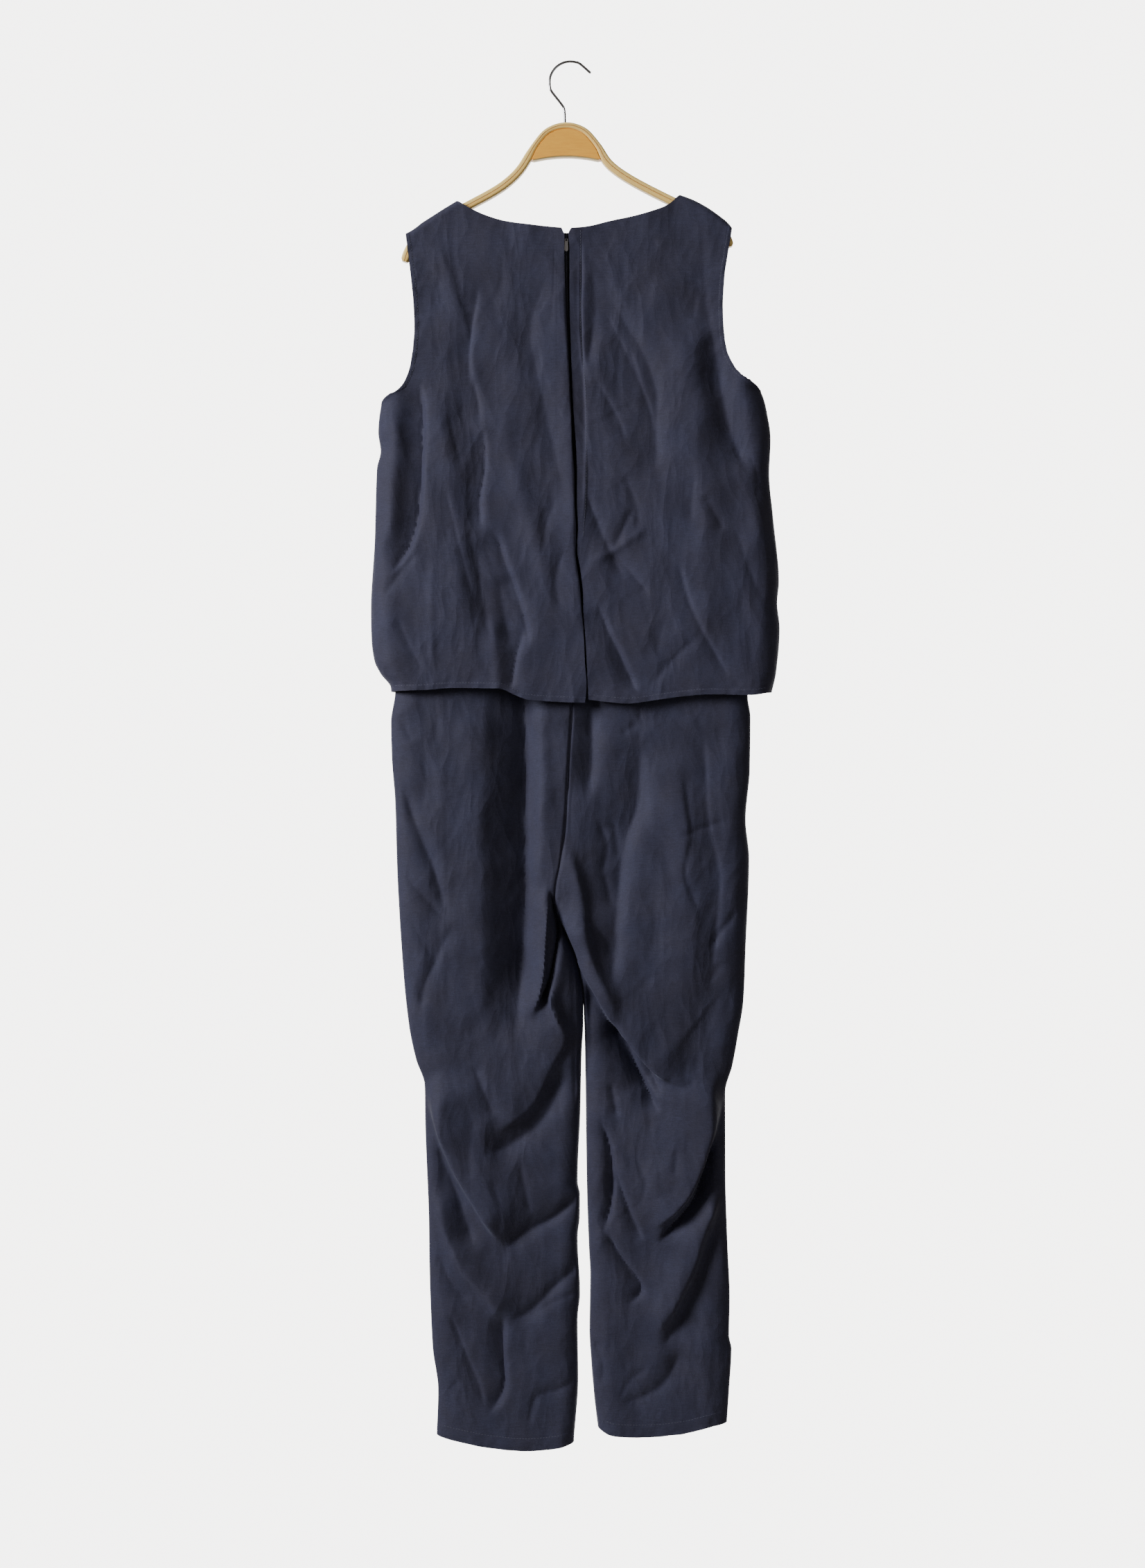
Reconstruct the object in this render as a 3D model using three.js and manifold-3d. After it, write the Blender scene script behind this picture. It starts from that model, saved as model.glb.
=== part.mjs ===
// Sleeveless jumpsuit hung on a bent wooden hanger, with a loose top layer over its trousers.
// Millimetres, +Z up. The origin is the inside top of the hook, where a rail carries it.
// The garment's back faces -Y and its front faces +Y, and +X is the wearer's right.
// The cloth hangs nearly flat, so each piece is a thin wall that stands off the plane Y = 0
// by a height worked out from its distance to its seams and from the folds that cross it.
import * as THREE from 'three';
import { mergeVertices } from 'three/addons/utils/BufferGeometryUtils.js';
import Module from 'manifold-3d';

const wasm = await Module();
wasm.setup();

// Driving sizes
const WALL = 1.2;                 // cloth with its turned edges
const SEAM_GAP = 0.3;             // between two pieces sewn together
const WAIST_Z = -580;             // inner bodice meets the trousers
const CROTCH_START_Z = -985;      // where the centre seam begins to turn under
const CROTCH_END_Z = -1048;       // where the two leg tubes part
const SHOULDER_ROUND = 9;         // reach of the curve over the hanger's arms
const SIDE_ROUND = 30;            // reach of the curve into a side seam
const LEG_ROUND = 22;             // reach of the curve into an inside leg seam
const FOLD_CLEAR = 26;            // folds fade out over this distance from a side seam
const REST_CLEAR = 0.7;           // least room between the top layer and the bodice

const HANGER = {
  band: 10, bandAtPanel: 7.6, depth: 12, corner: 3, panelDepth: 11, gap: 0.3, panelZ: -114, panelLowZ: -107,
};
const HOOK = {
  wire: 3, radius: 25, centreZ: -23.5, tipX: 24.5, tipZ: -12.6,
  stemX: -6.6, bendX: -8, bendZ: -53, footZ: -72.3,
};
const ZIP = { topZ: -213, bottomZ: -742, chainWidth: 3.4, bodiceGap: 4.4 };
const SLIDER = { width: 3.8, length: 8, depth: 2.2, corner: 1.4, z: -213 };
const BRIDGE = { width: 1.1, bar: 0.8, space: 1.5, lowZ: -216.4, highZ: -209.6 };
const PULL = { width: 4.4, neckWidth: 3.7, length: 14.6, arm: 0.9, window: 2, thick: 0.8, play: 0.4 };

// Outlines as seen from the back, each a short table of points in the plane Y = 0
const SHOULDER_LEFT = [
  { x: -197.1, z: -205.4 }, { x: -188.4, z: -200.4 }, { x: -176.8, z: -191.6 }, { x: -166, z: -184.7 },
  { x: -153.5, z: -176.6 }, { x: -143.6, z: -170.6 }, { x: -136.9, z: -166.4 },
];
const NECK_LEFT = [
  { x: -136.9, z: -166.4 }, { x: -124.5, z: -174.7 }, { x: -100.4, z: -186.3 }, { x: -77.2, z: -193 },
  { x: -44.8, z: -198 }, { x: -10.8, z: -201.3 }, { x: -2, z: -202 },
];
const NECK_RIGHT = [
  { x: -2, z: -202 }, { x: 15.8, z: -200.4 }, { x: 44, z: -194.2 }, { x: 76.4, z: -187.2 },
  { x: 98.8, z: -180.5 }, { x: 116.2, z: -173.2 }, { x: 132, z: -159.1 },
];
const SHOULDER_RIGHT = [
  { x: 132, z: -159.1 }, { x: 146.1, z: -164.4 }, { x: 163.5, z: -173.6 }, { x: 179.3, z: -184.7 },
  { x: 189.2, z: -193 }, { x: 193.4, z: -198.8 },
];
const TOP_EDGE_LEFT = [
  { z: -205.4, x: -197.1 }, { z: -239, x: -192.6 }, { z: -294.2, x: -186.8 }, { z: -322.5, x: -185.6 },
  { z: -346.5, x: -187.2 }, { z: -368.9, x: -190.9 }, { z: -386.4, x: -197.5 }, { z: -396.3, x: -205.8 },
  { z: -404.6, x: -222.4 }, { z: -410.4, x: -226.6 }, { z: -443.6, x: -230.2 }, { z: -466, x: -227.4 },
  { z: -487.6, x: -231.9 }, { z: -571.5, x: -234.4 }, { z: -657.8, x: -239 }, { z: -692.6, x: -238.2 },
  { z: -716.7, x: -234.9 }, { z: -732.5, x: -227.4 }, { z: -749.1, x: -215.2 }, { z: -754.1, x: -214.8 },
];
const TOP_EDGE_RIGHT = [
  { z: -198.8, x: 193.4 }, { z: -232.8, x: 187.6 }, { z: -261.9, x: 183.4 }, { z: -299, x: 181.6 },
  { z: -322, x: 182.4 }, { z: -346.5, x: 185.9 }, { z: -367.3, x: 195 }, { z: -381.4, x: 207.5 },
  { z: -389.7, x: 221.6 }, { z: -394.7, x: 228.2 }, { z: -420.4, x: 235.7 }, { z: -451.9, x: 239.9 },
  { z: -492.6, x: 238.2 }, { z: -544.9, x: 242.8 }, { z: -622.1, x: 249.8 }, { z: -647.8, x: 247.8 },
  { z: -678.5, x: 250.7 }, { z: -730.8, x: 246.5 }, { z: -754.9, x: 241.1 },
];
const OPENING_LEFT = [
  { z: -201.3, x: -10.8 }, { z: -237, x: -10.8 }, { z: -261, x: -8.3 }, { z: -300.9, x: -5 },
  { z: -348.2, x: -2.5 }, { z: -396.3, x: -0.8 }, { z: -463.6, x: 1.7 }, { z: -517.5, x: 5.8 },
  { z: -571.5, x: 7 }, { z: -608, x: 10.8 }, { z: -663.6, x: 14.9 }, { z: -719.2, x: 16.8 },
  { z: -746.6, x: 19 }, { z: -768.2, x: 17.4 },
];
const OPENING_RIGHT = [
  { z: -200.6, x: 1.8 }, { z: -212, x: -2.5 }, { z: -300.9, x: -1.2 }, { z: -384.7, x: 3.3 },
  { z: -471.9, x: 9.1 }, { z: -529.1, x: 13.3 }, { z: -581.4, x: 13.3 }, { z: -647, x: 16.6 },
  { z: -712.6, x: 19.9 }, { z: -764.8, x: 21.6 },
];
const TOP_HEM = [
  { x: -214.8, z: -754.1 }, { x: -175.1, z: -753.2 }, { x: -140.3, z: -750.7 }, { x: -84.7, z: -751.6 },
  { x: -63.9, z: -759.9 }, { x: -49, z: -764.8 }, { x: 17.4, z: -768.2 }, { x: 21.6, z: -764.8 },
  { x: 35.7, z: -766.5 }, { x: 67, z: -769.2 }, { x: 102.1, z: -764.8 }, { x: 141.1, z: -759.9 },
  { x: 166.8, z: -758.2 }, { x: 213.3, z: -759 }, { x: 241.1, z: -754.9 },
];
const LEG_OUTSIDE_LEFT = [
  { z: -580, x: -205 }, { z: -755, x: -210 }, { z: -790.6, x: -215 }, { z: -830.4, x: -214.1 },
  { z: -886, x: -210 }, { z: -969, x: -207.5 }, { z: -1091.9, x: -200 }, { z: -1154.1, x: -193.4 },
  { z: -1194, x: -185.1 }, { z: -1225.5, x: -174.7 }, { z: -1276.1, x: -173.8 }, { z: -1386.5, x: -169.7 },
  { z: -1442.1, x: -168.9 }, { z: -1537.6, x: -165.2 }, { z: -1590.7, x: -158.5 }, { z: -1643, x: -160.2 },
];
const LEG_OUTSIDE_RIGHT = [
  { z: -580, x: 210 }, { z: -759.9, x: 212.5 }, { z: -784.8, x: 215.8 }, { z: -846.2, x: 215 },
  { z: -907.6, x: 210 }, { z: -953.3, x: 214.1 }, { z: -1061.2, x: 210 }, { z: -1122.6, x: 207.5 },
  { z: -1164.9, x: 200.9 }, { z: -1201.4, x: 194.2 }, { z: -1233.8, x: 185.6 }, { z: -1335.1, x: 185.9 },
  { z: -1418.1, x: 188.4 }, { z: -1480.3, x: 190.9 }, { z: -1526, x: 190.1 }, { z: -1540.9, x: 193 },
  { z: -1590.7, x: 190.1 }, { z: -1628, x: 187.6 },
];
const BAND_TOP_EDGE = [
  { x: -203.4, z: -237.2 }, { x: -199.4, z: -226 }, { x: -193.6, z: -216 }, { x: -180.2, z: -201 },
  { x: -154.4, z: -184.2 }, { x: -128, z: -169.3 }, { x: -96, z: -152 }, { x: -78, z: -139.6 },
  { x: -63.9, z: -125.4 }, { x: -51, z: -105.6 }, { x: -35, z: -84.6 }, { x: -21, z: -75.6 },
  { x: -6.6, z: -72.6 }, { x: 7, z: -74.2 }, { x: 21.6, z: -81.6 }, { x: 36.6, z: -99 },
  { x: 47.5, z: -115.6 }, { x: 58.8, z: -126 }, { x: 76, z: -137.2 }, { x: 98.6, z: -149.4 },
  { x: 128.4, z: -164.2 }, { x: 147.4, z: -173.6 }, { x: 166, z: -184.1 }, { x: 181.2, z: -196.8 },
  { x: 191.8, z: -208.6 }, { x: 195.8, z: -219.6 },
];
const CENTRE_BACK = [
  { z: -200, x: -5 }, { z: -240, x: -4.8 }, { z: -300, x: -3.2 }, { z: -420, x: 0 }, { z: -580, x: 2.5 },
  { z: -767.3, x: 1.7 }, { z: -843.7, x: -2.5 }, { z: -915.9, x: -6.6 }, { z: -957.4, x: -11.6 },
  { z: -989.8, x: -17.5 }, { z: -1008, x: -18.3 }, { z: -1023, x: -14.1 }, { z: -1040.4, x: -6.6 },
  { z: -1070.3, x: 5.8 }, { z: -1094.4, x: 11.6 }, { z: -1116.8, x: 15.2 },
];
const LEG_INSIDE_LEFT = [
  { z: -1153.3, x: 15.1 }, { z: -1183.2, x: 13.3 }, { z: -1257, x: 11.6 }, { z: -1340.9, x: 8.3 },
  { z: -1355.8, x: 11 }, { z: -1383.2, x: 10.8 }, { z: -1407.3, x: 8.3 }, { z: -1474.5, x: 11.2 },
  { z: -1506.9, x: 8.3 }, { z: -1575.8, x: 9.1 }, { z: -1648, x: 4.1 },
];
const LEG_INSIDE_RIGHT = [
  { z: -1192.3, x: 17.9 }, { z: -1340.9, x: 19.9 }, { z: -1418.1, x: 22.4 }, { z: -1451.3, x: 24.1 },
  { z: -1518.5, x: 23.2 }, { z: -1550.9, x: 24.9 }, { z: -1599.8, x: 29 }, { z: -1634.7, x: 33.2 },
];
const LEG_HEM_LEFT = [
  { x: -160.2, z: -1643 }, { x: -127.8, z: -1649.6 }, { x: -89.6, z: -1656.3 }, { x: -51.5, z: -1659.3 },
  { x: -23.2, z: -1657.1 }, { x: 4.1, z: -1652.1 },
];
const LEG_HEM_RIGHT = [
  { x: 33.2, z: -1634.7 }, { x: 50.6, z: -1641.3 }, { x: 83, z: -1643.4 }, { x: 131.1, z: -1639.2 },
  { x: 169.3, z: -1630.5 }, { x: 187.6, z: -1628 },
];

// How far each layer stands off the middle plane, a row for each level
const TOP_DEPTH = [
  { z: -160, back: 11.6, front: 11.6 }, { z: -260, back: 12.4, front: 12 }, { z: -400, back: 20, front: 17 },
  { z: -560, back: 24, front: 20 }, { z: -770, back: 28, front: 23 },
];
const BODICE_DEPTH = [{ z: -160, back: 9.6, front: 9.6 }, { z: -580, back: 9.8, front: 9.8 }];
const TROUSER_DEPTH = [
  { z: -580, back: 9.8, front: 9.8 }, { z: -700, back: 13, front: 12 }, { z: -790, back: 17, front: 14 },
  { z: -900, back: 20.5, front: 17 }, { z: -1030, back: 21, front: 17 }, { z: -1120, back: 18, front: 15 },
  { z: -1250, back: 16, front: 14 }, { z: -1660, back: 15, front: 13 },
];

// Largest folds, from (x0, z0) to (x1, z1). Lift is outwards, and bow is the sag of the line to its
// left when walking along it. Left and right are the widths on either hand of that walk.
const TOP_BACK_FOLDS = [
  { x0: -188, z0: -415, x1: -200, z1: -600, lift: -8, bow: 9, left: 15, right: 13 },
  { x0: -114, z0: -262, x1: -95, z1: -660, lift: -5, bow: -8, left: 10, right: 12 },
  { x0: -150, z0: -400, x1: -143, z1: -740, lift: 4, bow: 0, left: 22, right: 22 },
  { x0: -30, z0: -262, x1: -56, z1: -345, lift: -3, bow: 0, left: 12, right: 10 },
  { x0: -56, z0: -345, x1: -4, z1: -520, lift: -3.5, bow: 0, left: 12, right: 10 },
  { x0: -104, z0: -550, x1: -40, z1: -700, lift: -5, bow: 3, left: 10, right: 12 },
  { x0: -64, z0: -680, x1: -54, z1: -775, lift: -5, bow: 0, left: 10, right: 10 },
  { x0: -96, z0: -640, x1: -84, z1: -775, lift: 4, bow: 0, left: 12, right: 14 },
  { x0: -226, z0: -640, x1: -165, z1: -556, lift: -3, bow: 0, left: 11, right: 11 },
  { x0: 12, z0: -215, x1: 14, z1: -440, lift: 3, bow: 0, left: 9, right: 12 },
  { x0: 25, z0: -235, x1: 31, z1: -380, lift: -5, bow: 0, left: 12, right: 9 },
  { x0: 40, z0: -270, x1: 104, z1: -430, lift: -3, bow: -4, left: 11, right: 11 },
  { x0: 80, z0: -350, x1: 58, z1: -470, lift: -3, bow: 0, left: 11, right: 11 },
  { x0: 16, z0: -530, x1: 84, z1: -640, lift: -4, bow: 0, left: 10, right: 10 },
  { x0: 34, z0: -660, x1: 80, z1: -775, lift: -4, bow: 0, left: 10, right: 10 },
  { x0: 126, z0: -300, x1: 134, z1: -740, lift: 4, bow: 0, left: 24, right: 24 },
  { x0: 157, z0: -200, x1: 162, z1: -330, lift: -3, bow: 0, left: 12, right: 12 },
  { x0: 170, z0: -325, x1: 208, z1: -500, lift: -7, bow: 5, left: 13, right: 13 },
  { x0: 138, z0: -610, x1: 170, z1: -716, lift: -3, bow: 0, left: 11, right: 11 },
];
const TOP_FRONT_FOLDS = [
  { x0: -150, z0: -330, x1: -132, z1: -740, lift: -5, bow: 0, left: 16, right: 16 },
  { x0: -66, z0: -300, x1: -84, z1: -775, lift: 4, bow: 0, left: 20, right: 20 },
  { x0: 22, z0: -340, x1: 8, z1: -775, lift: -5, bow: 0, left: 15, right: 18 },
  { x0: 92, z0: -290, x1: 112, z1: -775, lift: 4, bow: 0, left: 18, right: 18 },
  { x0: 172, z0: -360, x1: 190, z1: -700, lift: -5, bow: 0, left: 14, right: 14 },
];
const TROUSER_BACK_FOLDS = [
  { x0: -68, z0: -700, x1: -70, z1: -1175, lift: -11, bow: 0, left: 18, right: 18 },
  { x0: -112, z0: -740, x1: -108, z1: -1190, lift: 5, bow: 0, left: 22, right: 26 },
  { x0: -36, z0: -740, x1: -44, z1: -1010, lift: 4, bow: 0, left: 14, right: 16 },
  { x0: -204, z0: -850, x1: -160, z1: -985, lift: -4, bow: 0, left: 10, right: 10 },
  { x0: -204, z0: -955, x1: -150, z1: -1036, lift: -3, bow: 0, left: 10, right: 10 },
  { x0: -29, z0: -975, x1: -42, z1: -1128, lift: 13, bow: 2, left: 10, right: 44 },
  { x0: -18, z0: -985, x1: -48, z1: -1138, lift: -6, bow: 8, left: 8, right: 8 },
  { x0: -10, z0: -1035, x1: -20, z1: -1125, lift: 5, bow: 0, left: 8, right: 8 },
  { x0: -22, z0: -1120, x1: -44, z1: -1270, lift: 8, bow: 14, left: 10, right: 36 },
  { x0: -8, z0: -1190, x1: -98, z1: -1302, lift: -7, bow: -12, left: 10, right: 12 },
  { x0: -180, z0: -1214, x1: -98, z1: -1380, lift: 12, bow: -6, left: 46, right: 9 },
  { x0: -170, z0: -1346, x1: -74, z1: -1498, lift: 5, bow: -4, left: 22, right: 9 },
  { x0: 12, z0: -1352, x1: -72, z1: -1408, lift: -5, bow: 0, left: 9, right: 10 },
  { x0: 10, z0: -1448, x1: -78, z1: -1504, lift: -4, bow: 0, left: 10, right: 10 },
  { x0: 26, z0: -735, x1: 26, z1: -880, lift: -6, bow: 0, left: 13, right: 13 },
  { x0: 24, z0: -880, x1: 50, z1: -1130, lift: -9, bow: 0, left: 20, right: 16 },
  { x0: 88, z0: -880, x1: 96, z1: -1170, lift: 3, bow: 0, left: 30, right: 26 },
  { x0: 143, z0: -775, x1: 164, z1: -1090, lift: -5, bow: 4, left: 11, right: 13 },
  { x0: -26, z0: -1004, x1: 98, z1: -1202, lift: 13, bow: 2, left: 26, right: 9 },
  { x0: 60, z0: -1170, x1: 104, z1: -1250, lift: -7, bow: 0, left: 8, right: 11 },
  { x0: 190, z0: -1222, x1: 103, z1: -1390, lift: 14, bow: 9, left: 9, right: 46 },
  { x0: 184, z0: -1352, x1: 92, z1: -1530, lift: 7, bow: 0, left: 9, right: 24 },
  { x0: 50, z0: -1300, x1: 84, z1: -1470, lift: -5, bow: -4, left: 10, right: 10 },
  { x0: 134, z0: -1510, x1: 64, z1: -1604, lift: -3, bow: 8, left: 10, right: 10 },
];
const TROUSER_FRONT_FOLDS = [
  { x0: -118, z0: -720, x1: -104, z1: -1260, lift: -5, bow: 0, left: 18, right: 18 },
  { x0: -60, z0: -760, x1: -74, z1: -1200, lift: 4, bow: 0, left: 20, right: 20 },
  { x0: -150, z0: -1270, x1: -60, z1: -1420, lift: 4, bow: 0, left: 22, right: 14 },
  { x0: 66, z0: -740, x1: 80, z1: -1220, lift: -5, bow: 0, left: 18, right: 18 },
  { x0: 140, z0: -800, x1: 128, z1: -1300, lift: 4, bow: 0, left: 22, right: 22 },
  { x0: 160, z0: -1320, x1: 84, z1: -1480, lift: 4, bow: 0, left: 14, right: 22 },
];

// Small helpers
const { degToRad } = THREE.MathUtils;
const clamp = (value, low, high) => Math.min(high, Math.max(low, value));
const mix = (a, b, share) => a + (b - a) * share;
const eased = (value) => {
  const v = clamp(value, 0, 1);
  return v * v * (3 - 2 * v);
};
const rounded = (distance, reach) => Math.sqrt(1 - (1 - clamp(distance / reach, 0, 1)) ** 2);

// Smooth curve through a table's rows that never overshoots them.
function curveThrough(rows, across, value) {
  const sorted = [...rows].sort((a, b) => a[across] - b[across]);
  const u = sorted.map((row) => row[across]);
  const v = sorted.map((row) => row[value]);
  const slopes = u.slice(1).map((next, i) => (v[i + 1] - v[i]) / (next - u[i]));
  const tangents = u.map((_, i) => {
    const before = slopes[Math.max(i - 1, 0)];
    const after = slopes[Math.min(i, slopes.length - 1)];
    return before * after <= 0 ? 0 : (2 * before * after) / (before + after);
  });
  return (at) => {
    const place = clamp(at, u[0], u[u.length - 1]);
    let i = 0;
    while (i < u.length - 2 && place > u[i + 1]) i += 1;
    const span = u[i + 1] - u[i];
    const t = (place - u[i]) / span;
    const rise = (1 + 2 * t) * (1 - t) ** 2 * v[i] + t * t * (3 - 2 * t) * v[i + 1];
    const lean = t * (1 - t) ** 2 * tangents[i] - t * t * (1 - t) * tangents[i + 1];
    return rise + lean * span;
  };
}

const shoulderLeftZ = curveThrough(SHOULDER_LEFT, 'x', 'z');
const neckLeftZ = curveThrough(NECK_LEFT, 'x', 'z');
const neckRightZ = curveThrough(NECK_RIGHT, 'x', 'z');
const shoulderRightZ = curveThrough(SHOULDER_RIGHT, 'x', 'z');
const topLeftX = curveThrough(TOP_EDGE_LEFT, 'z', 'x');
const topRightX = curveThrough(TOP_EDGE_RIGHT, 'z', 'x');
const openingLeftX = curveThrough(OPENING_LEFT, 'z', 'x');
const openingRightX = curveThrough(OPENING_RIGHT, 'z', 'x');
const topHemZ = curveThrough(TOP_HEM, 'x', 'z');
const outsideLeftX = curveThrough(LEG_OUTSIDE_LEFT, 'z', 'x');
const outsideRightX = curveThrough(LEG_OUTSIDE_RIGHT, 'z', 'x');
const insideLeftX = curveThrough([...CENTRE_BACK, ...LEG_INSIDE_LEFT], 'z', 'x');
const insideRightX = curveThrough([...CENTRE_BACK, ...LEG_INSIDE_RIGHT], 'z', 'x');
const centreX = curveThrough(CENTRE_BACK, 'z', 'x');
const legHemLeftZ = curveThrough(LEG_HEM_LEFT, 'x', 'z');
const legHemRightZ = curveThrough(LEG_HEM_RIGHT, 'x', 'z');

const NECK_POINT_LEFT = SHOULDER_LEFT[SHOULDER_LEFT.length - 1];
const NECK_POINT_RIGHT = SHOULDER_RIGHT[0];
const UNDERARM_LEFT = { x: -226.6, z: -410.4 };
const UNDERARM_RIGHT = { x: 228.2, z: -394.7 };
const NECK_MIDDLE_X = -2;
const FRONT_NECK_DROP = 26;
const BODICE_SHOULDER_DROP = 2.3;
const BODICE_NECK_DROP = 5;
const BODICE_ARMHOLE_INSET = 6;
const SHOULDER_LEAN = Math.cos(degToRad(33));

// Top boundary of the bodice: shoulder, neckline and shoulder again.
function shoulderAndNeckZ(x, neckDrop) {
  if (x <= NECK_POINT_LEFT.x) return shoulderLeftZ(x);
  if (x >= NECK_POINT_RIGHT.x) return shoulderRightZ(x);
  const line = x < NECK_MIDDLE_X ? neckLeftZ(x) : neckRightZ(x);
  const across = (x - NECK_POINT_LEFT.x) / (NECK_POINT_RIGHT.x - NECK_POINT_LEFT.x);
  return line - neckDrop * Math.sin(Math.PI * across) ** 0.8;
}

// Distance below the shoulder seams, which end at the neck points.
function shoulderDistance(x, z) {
  if (x <= NECK_POINT_LEFT.x) return Math.max(0, shoulderLeftZ(x) - z) * SHOULDER_LEAN;
  if (x >= NECK_POINT_RIGHT.x) return Math.max(0, shoulderRightZ(x) - z) * SHOULDER_LEAN;
  const toLeft = Math.hypot(x - NECK_POINT_LEFT.x, (NECK_POINT_LEFT.z - z) * SHOULDER_LEAN);
  const toRight = Math.hypot(x - NECK_POINT_RIGHT.x, (NECK_POINT_RIGHT.z - z) * SHOULDER_LEAN);
  return Math.min(toLeft, toRight);
}

// Distance to the side seams, which start at the underarm points.
function topSideDistance(x, z) {
  const toUnderarm = (underarm) => Math.hypot(x - underarm.x, z - underarm.z);
  const toLeft = z < UNDERARM_LEFT.z ? x - topLeftX(z) : toUnderarm(UNDERARM_LEFT);
  const toRight = z < UNDERARM_RIGHT.z ? topRightX(z) - x : toUnderarm(UNDERARM_RIGHT);
  return Math.max(0, Math.min(toLeft, toRight));
}

// Lift of all folds of a table at one place.
function foldLift(folds, x, z) {
  let lift = 0;
  for (const fold of folds) {
    const runX = fold.x1 - fold.x0;
    const runZ = fold.z1 - fold.z0;
    const length = Math.hypot(runX, runZ);
    const along = ((x - fold.x0) * runX + (z - fold.z0) * runZ) / length ** 2;
    if (along <= 0 || along >= 1) continue;
    const toLeft = ((z - fold.z0) * runX - (x - fold.x0) * runZ) / length;
    const off = toLeft - fold.bow * 4 * along * (1 - along);
    const width = off > 0 ? fold.left : fold.right;
    const ends = eased(along / 0.22) * eased((1 - along) / 0.22);
    lift += fold.lift * ends * Math.exp(-((off / width) ** 2));
  }
  return lift;
}

// Heights of the three layers off the middle plane
const depthCurves = (rows) => ({
  back: curveThrough(rows, 'z', 'back'),
  front: curveThrough(rows, 'z', 'front'),
});
const topDepth = depthCurves(TOP_DEPTH);
const bodiceDepth = depthCurves(BODICE_DEPTH);
const trouserDepth = depthCurves(TROUSER_DEPTH);

// The top layer's folds sink no deeper than the bodice that they rest on.
function topHeight(face, folds, x, z) {
  const side = topSideDistance(x, z);
  const shoulder = shoulderDistance(x, z);
  const body = topDepth[face](z) * rounded(side, SIDE_ROUND) * rounded(shoulder, SHOULDER_ROUND);
  const room = eased(side / FOLD_CLEAR) * eased((shoulder - SHOULDER_ROUND) / 90);
  const rest = z > WAIST_Z ? bodiceHeight(face, x, z) + WALL + REST_CLEAR : 0;
  return Math.max(body + foldLift(folds, x, z) * room, Math.min(body, rest));
}

function bodiceHeight(face, x, z) {
  const inset = bodiceInset(x < 0 ? 'left' : 'right', z);
  const side = Math.max(0, topSideDistance(x, z) - inset);
  const shoulder = Math.max(0, shoulderDistance(x, z) - BODICE_SHOULDER_DROP * SHOULDER_LEAN);
  return bodiceDepth[face](z) * rounded(side, SIDE_ROUND) * rounded(shoulder, SHOULDER_ROUND);
}
const bodiceBackHeight = (x, z) => bodiceHeight('back', x, z);

function trouserHeight(face, folds, x, z, leg) {
  const outside = leg === 'left' ? x - outsideLeftX(z) : outsideRightX(z) - x;
  const inside = (leg === 'left' ? insideLeftX(z) - x : x - insideRightX(z)) - SEAM_GAP / 2;
  const parted = eased((CROTCH_START_Z - z) / (CROTCH_START_Z - CROTCH_END_Z));
  const inner = mix(1, rounded(Math.max(0, inside), LEG_ROUND), parted);
  const body = trouserDepth[face](z) * rounded(Math.max(0, outside), SIDE_ROUND) * inner;
  const clear = eased(outside / FOLD_CLEAR) * mix(1, eased(inside / 12), parted);
  return Math.max(0, body + foldLift(folds, x, z) * clear);
}

// The inner bodice follows the top layer a little inside it, and narrows to the waist.
function bodiceInset(side, z) {
  const left = side === 'left';
  const underarm = left ? UNDERARM_LEFT : UNDERARM_RIGHT;
  const leftWaist = outsideLeftX(WAIST_Z) - topLeftX(WAIST_Z);
  const rightWaist = topRightX(WAIST_Z) - outsideRightX(WAIST_Z);
  const atWaist = left ? leftWaist : rightWaist;
  return mix(BODICE_ARMHOLE_INSET, atWaist, eased((underarm.z - z) / (underarm.z - WAIST_Z)));
}

// Its top edge lies under the shoulders, and a little lower along the neckline.
function bodiceDrop(x) {
  const fromNeck = Math.min(x - NECK_POINT_LEFT.x, NECK_POINT_RIGHT.x - x);
  return mix(BODICE_SHOULDER_DROP, BODICE_NECK_DROP, eased(fromNeck / 20));
}

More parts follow.
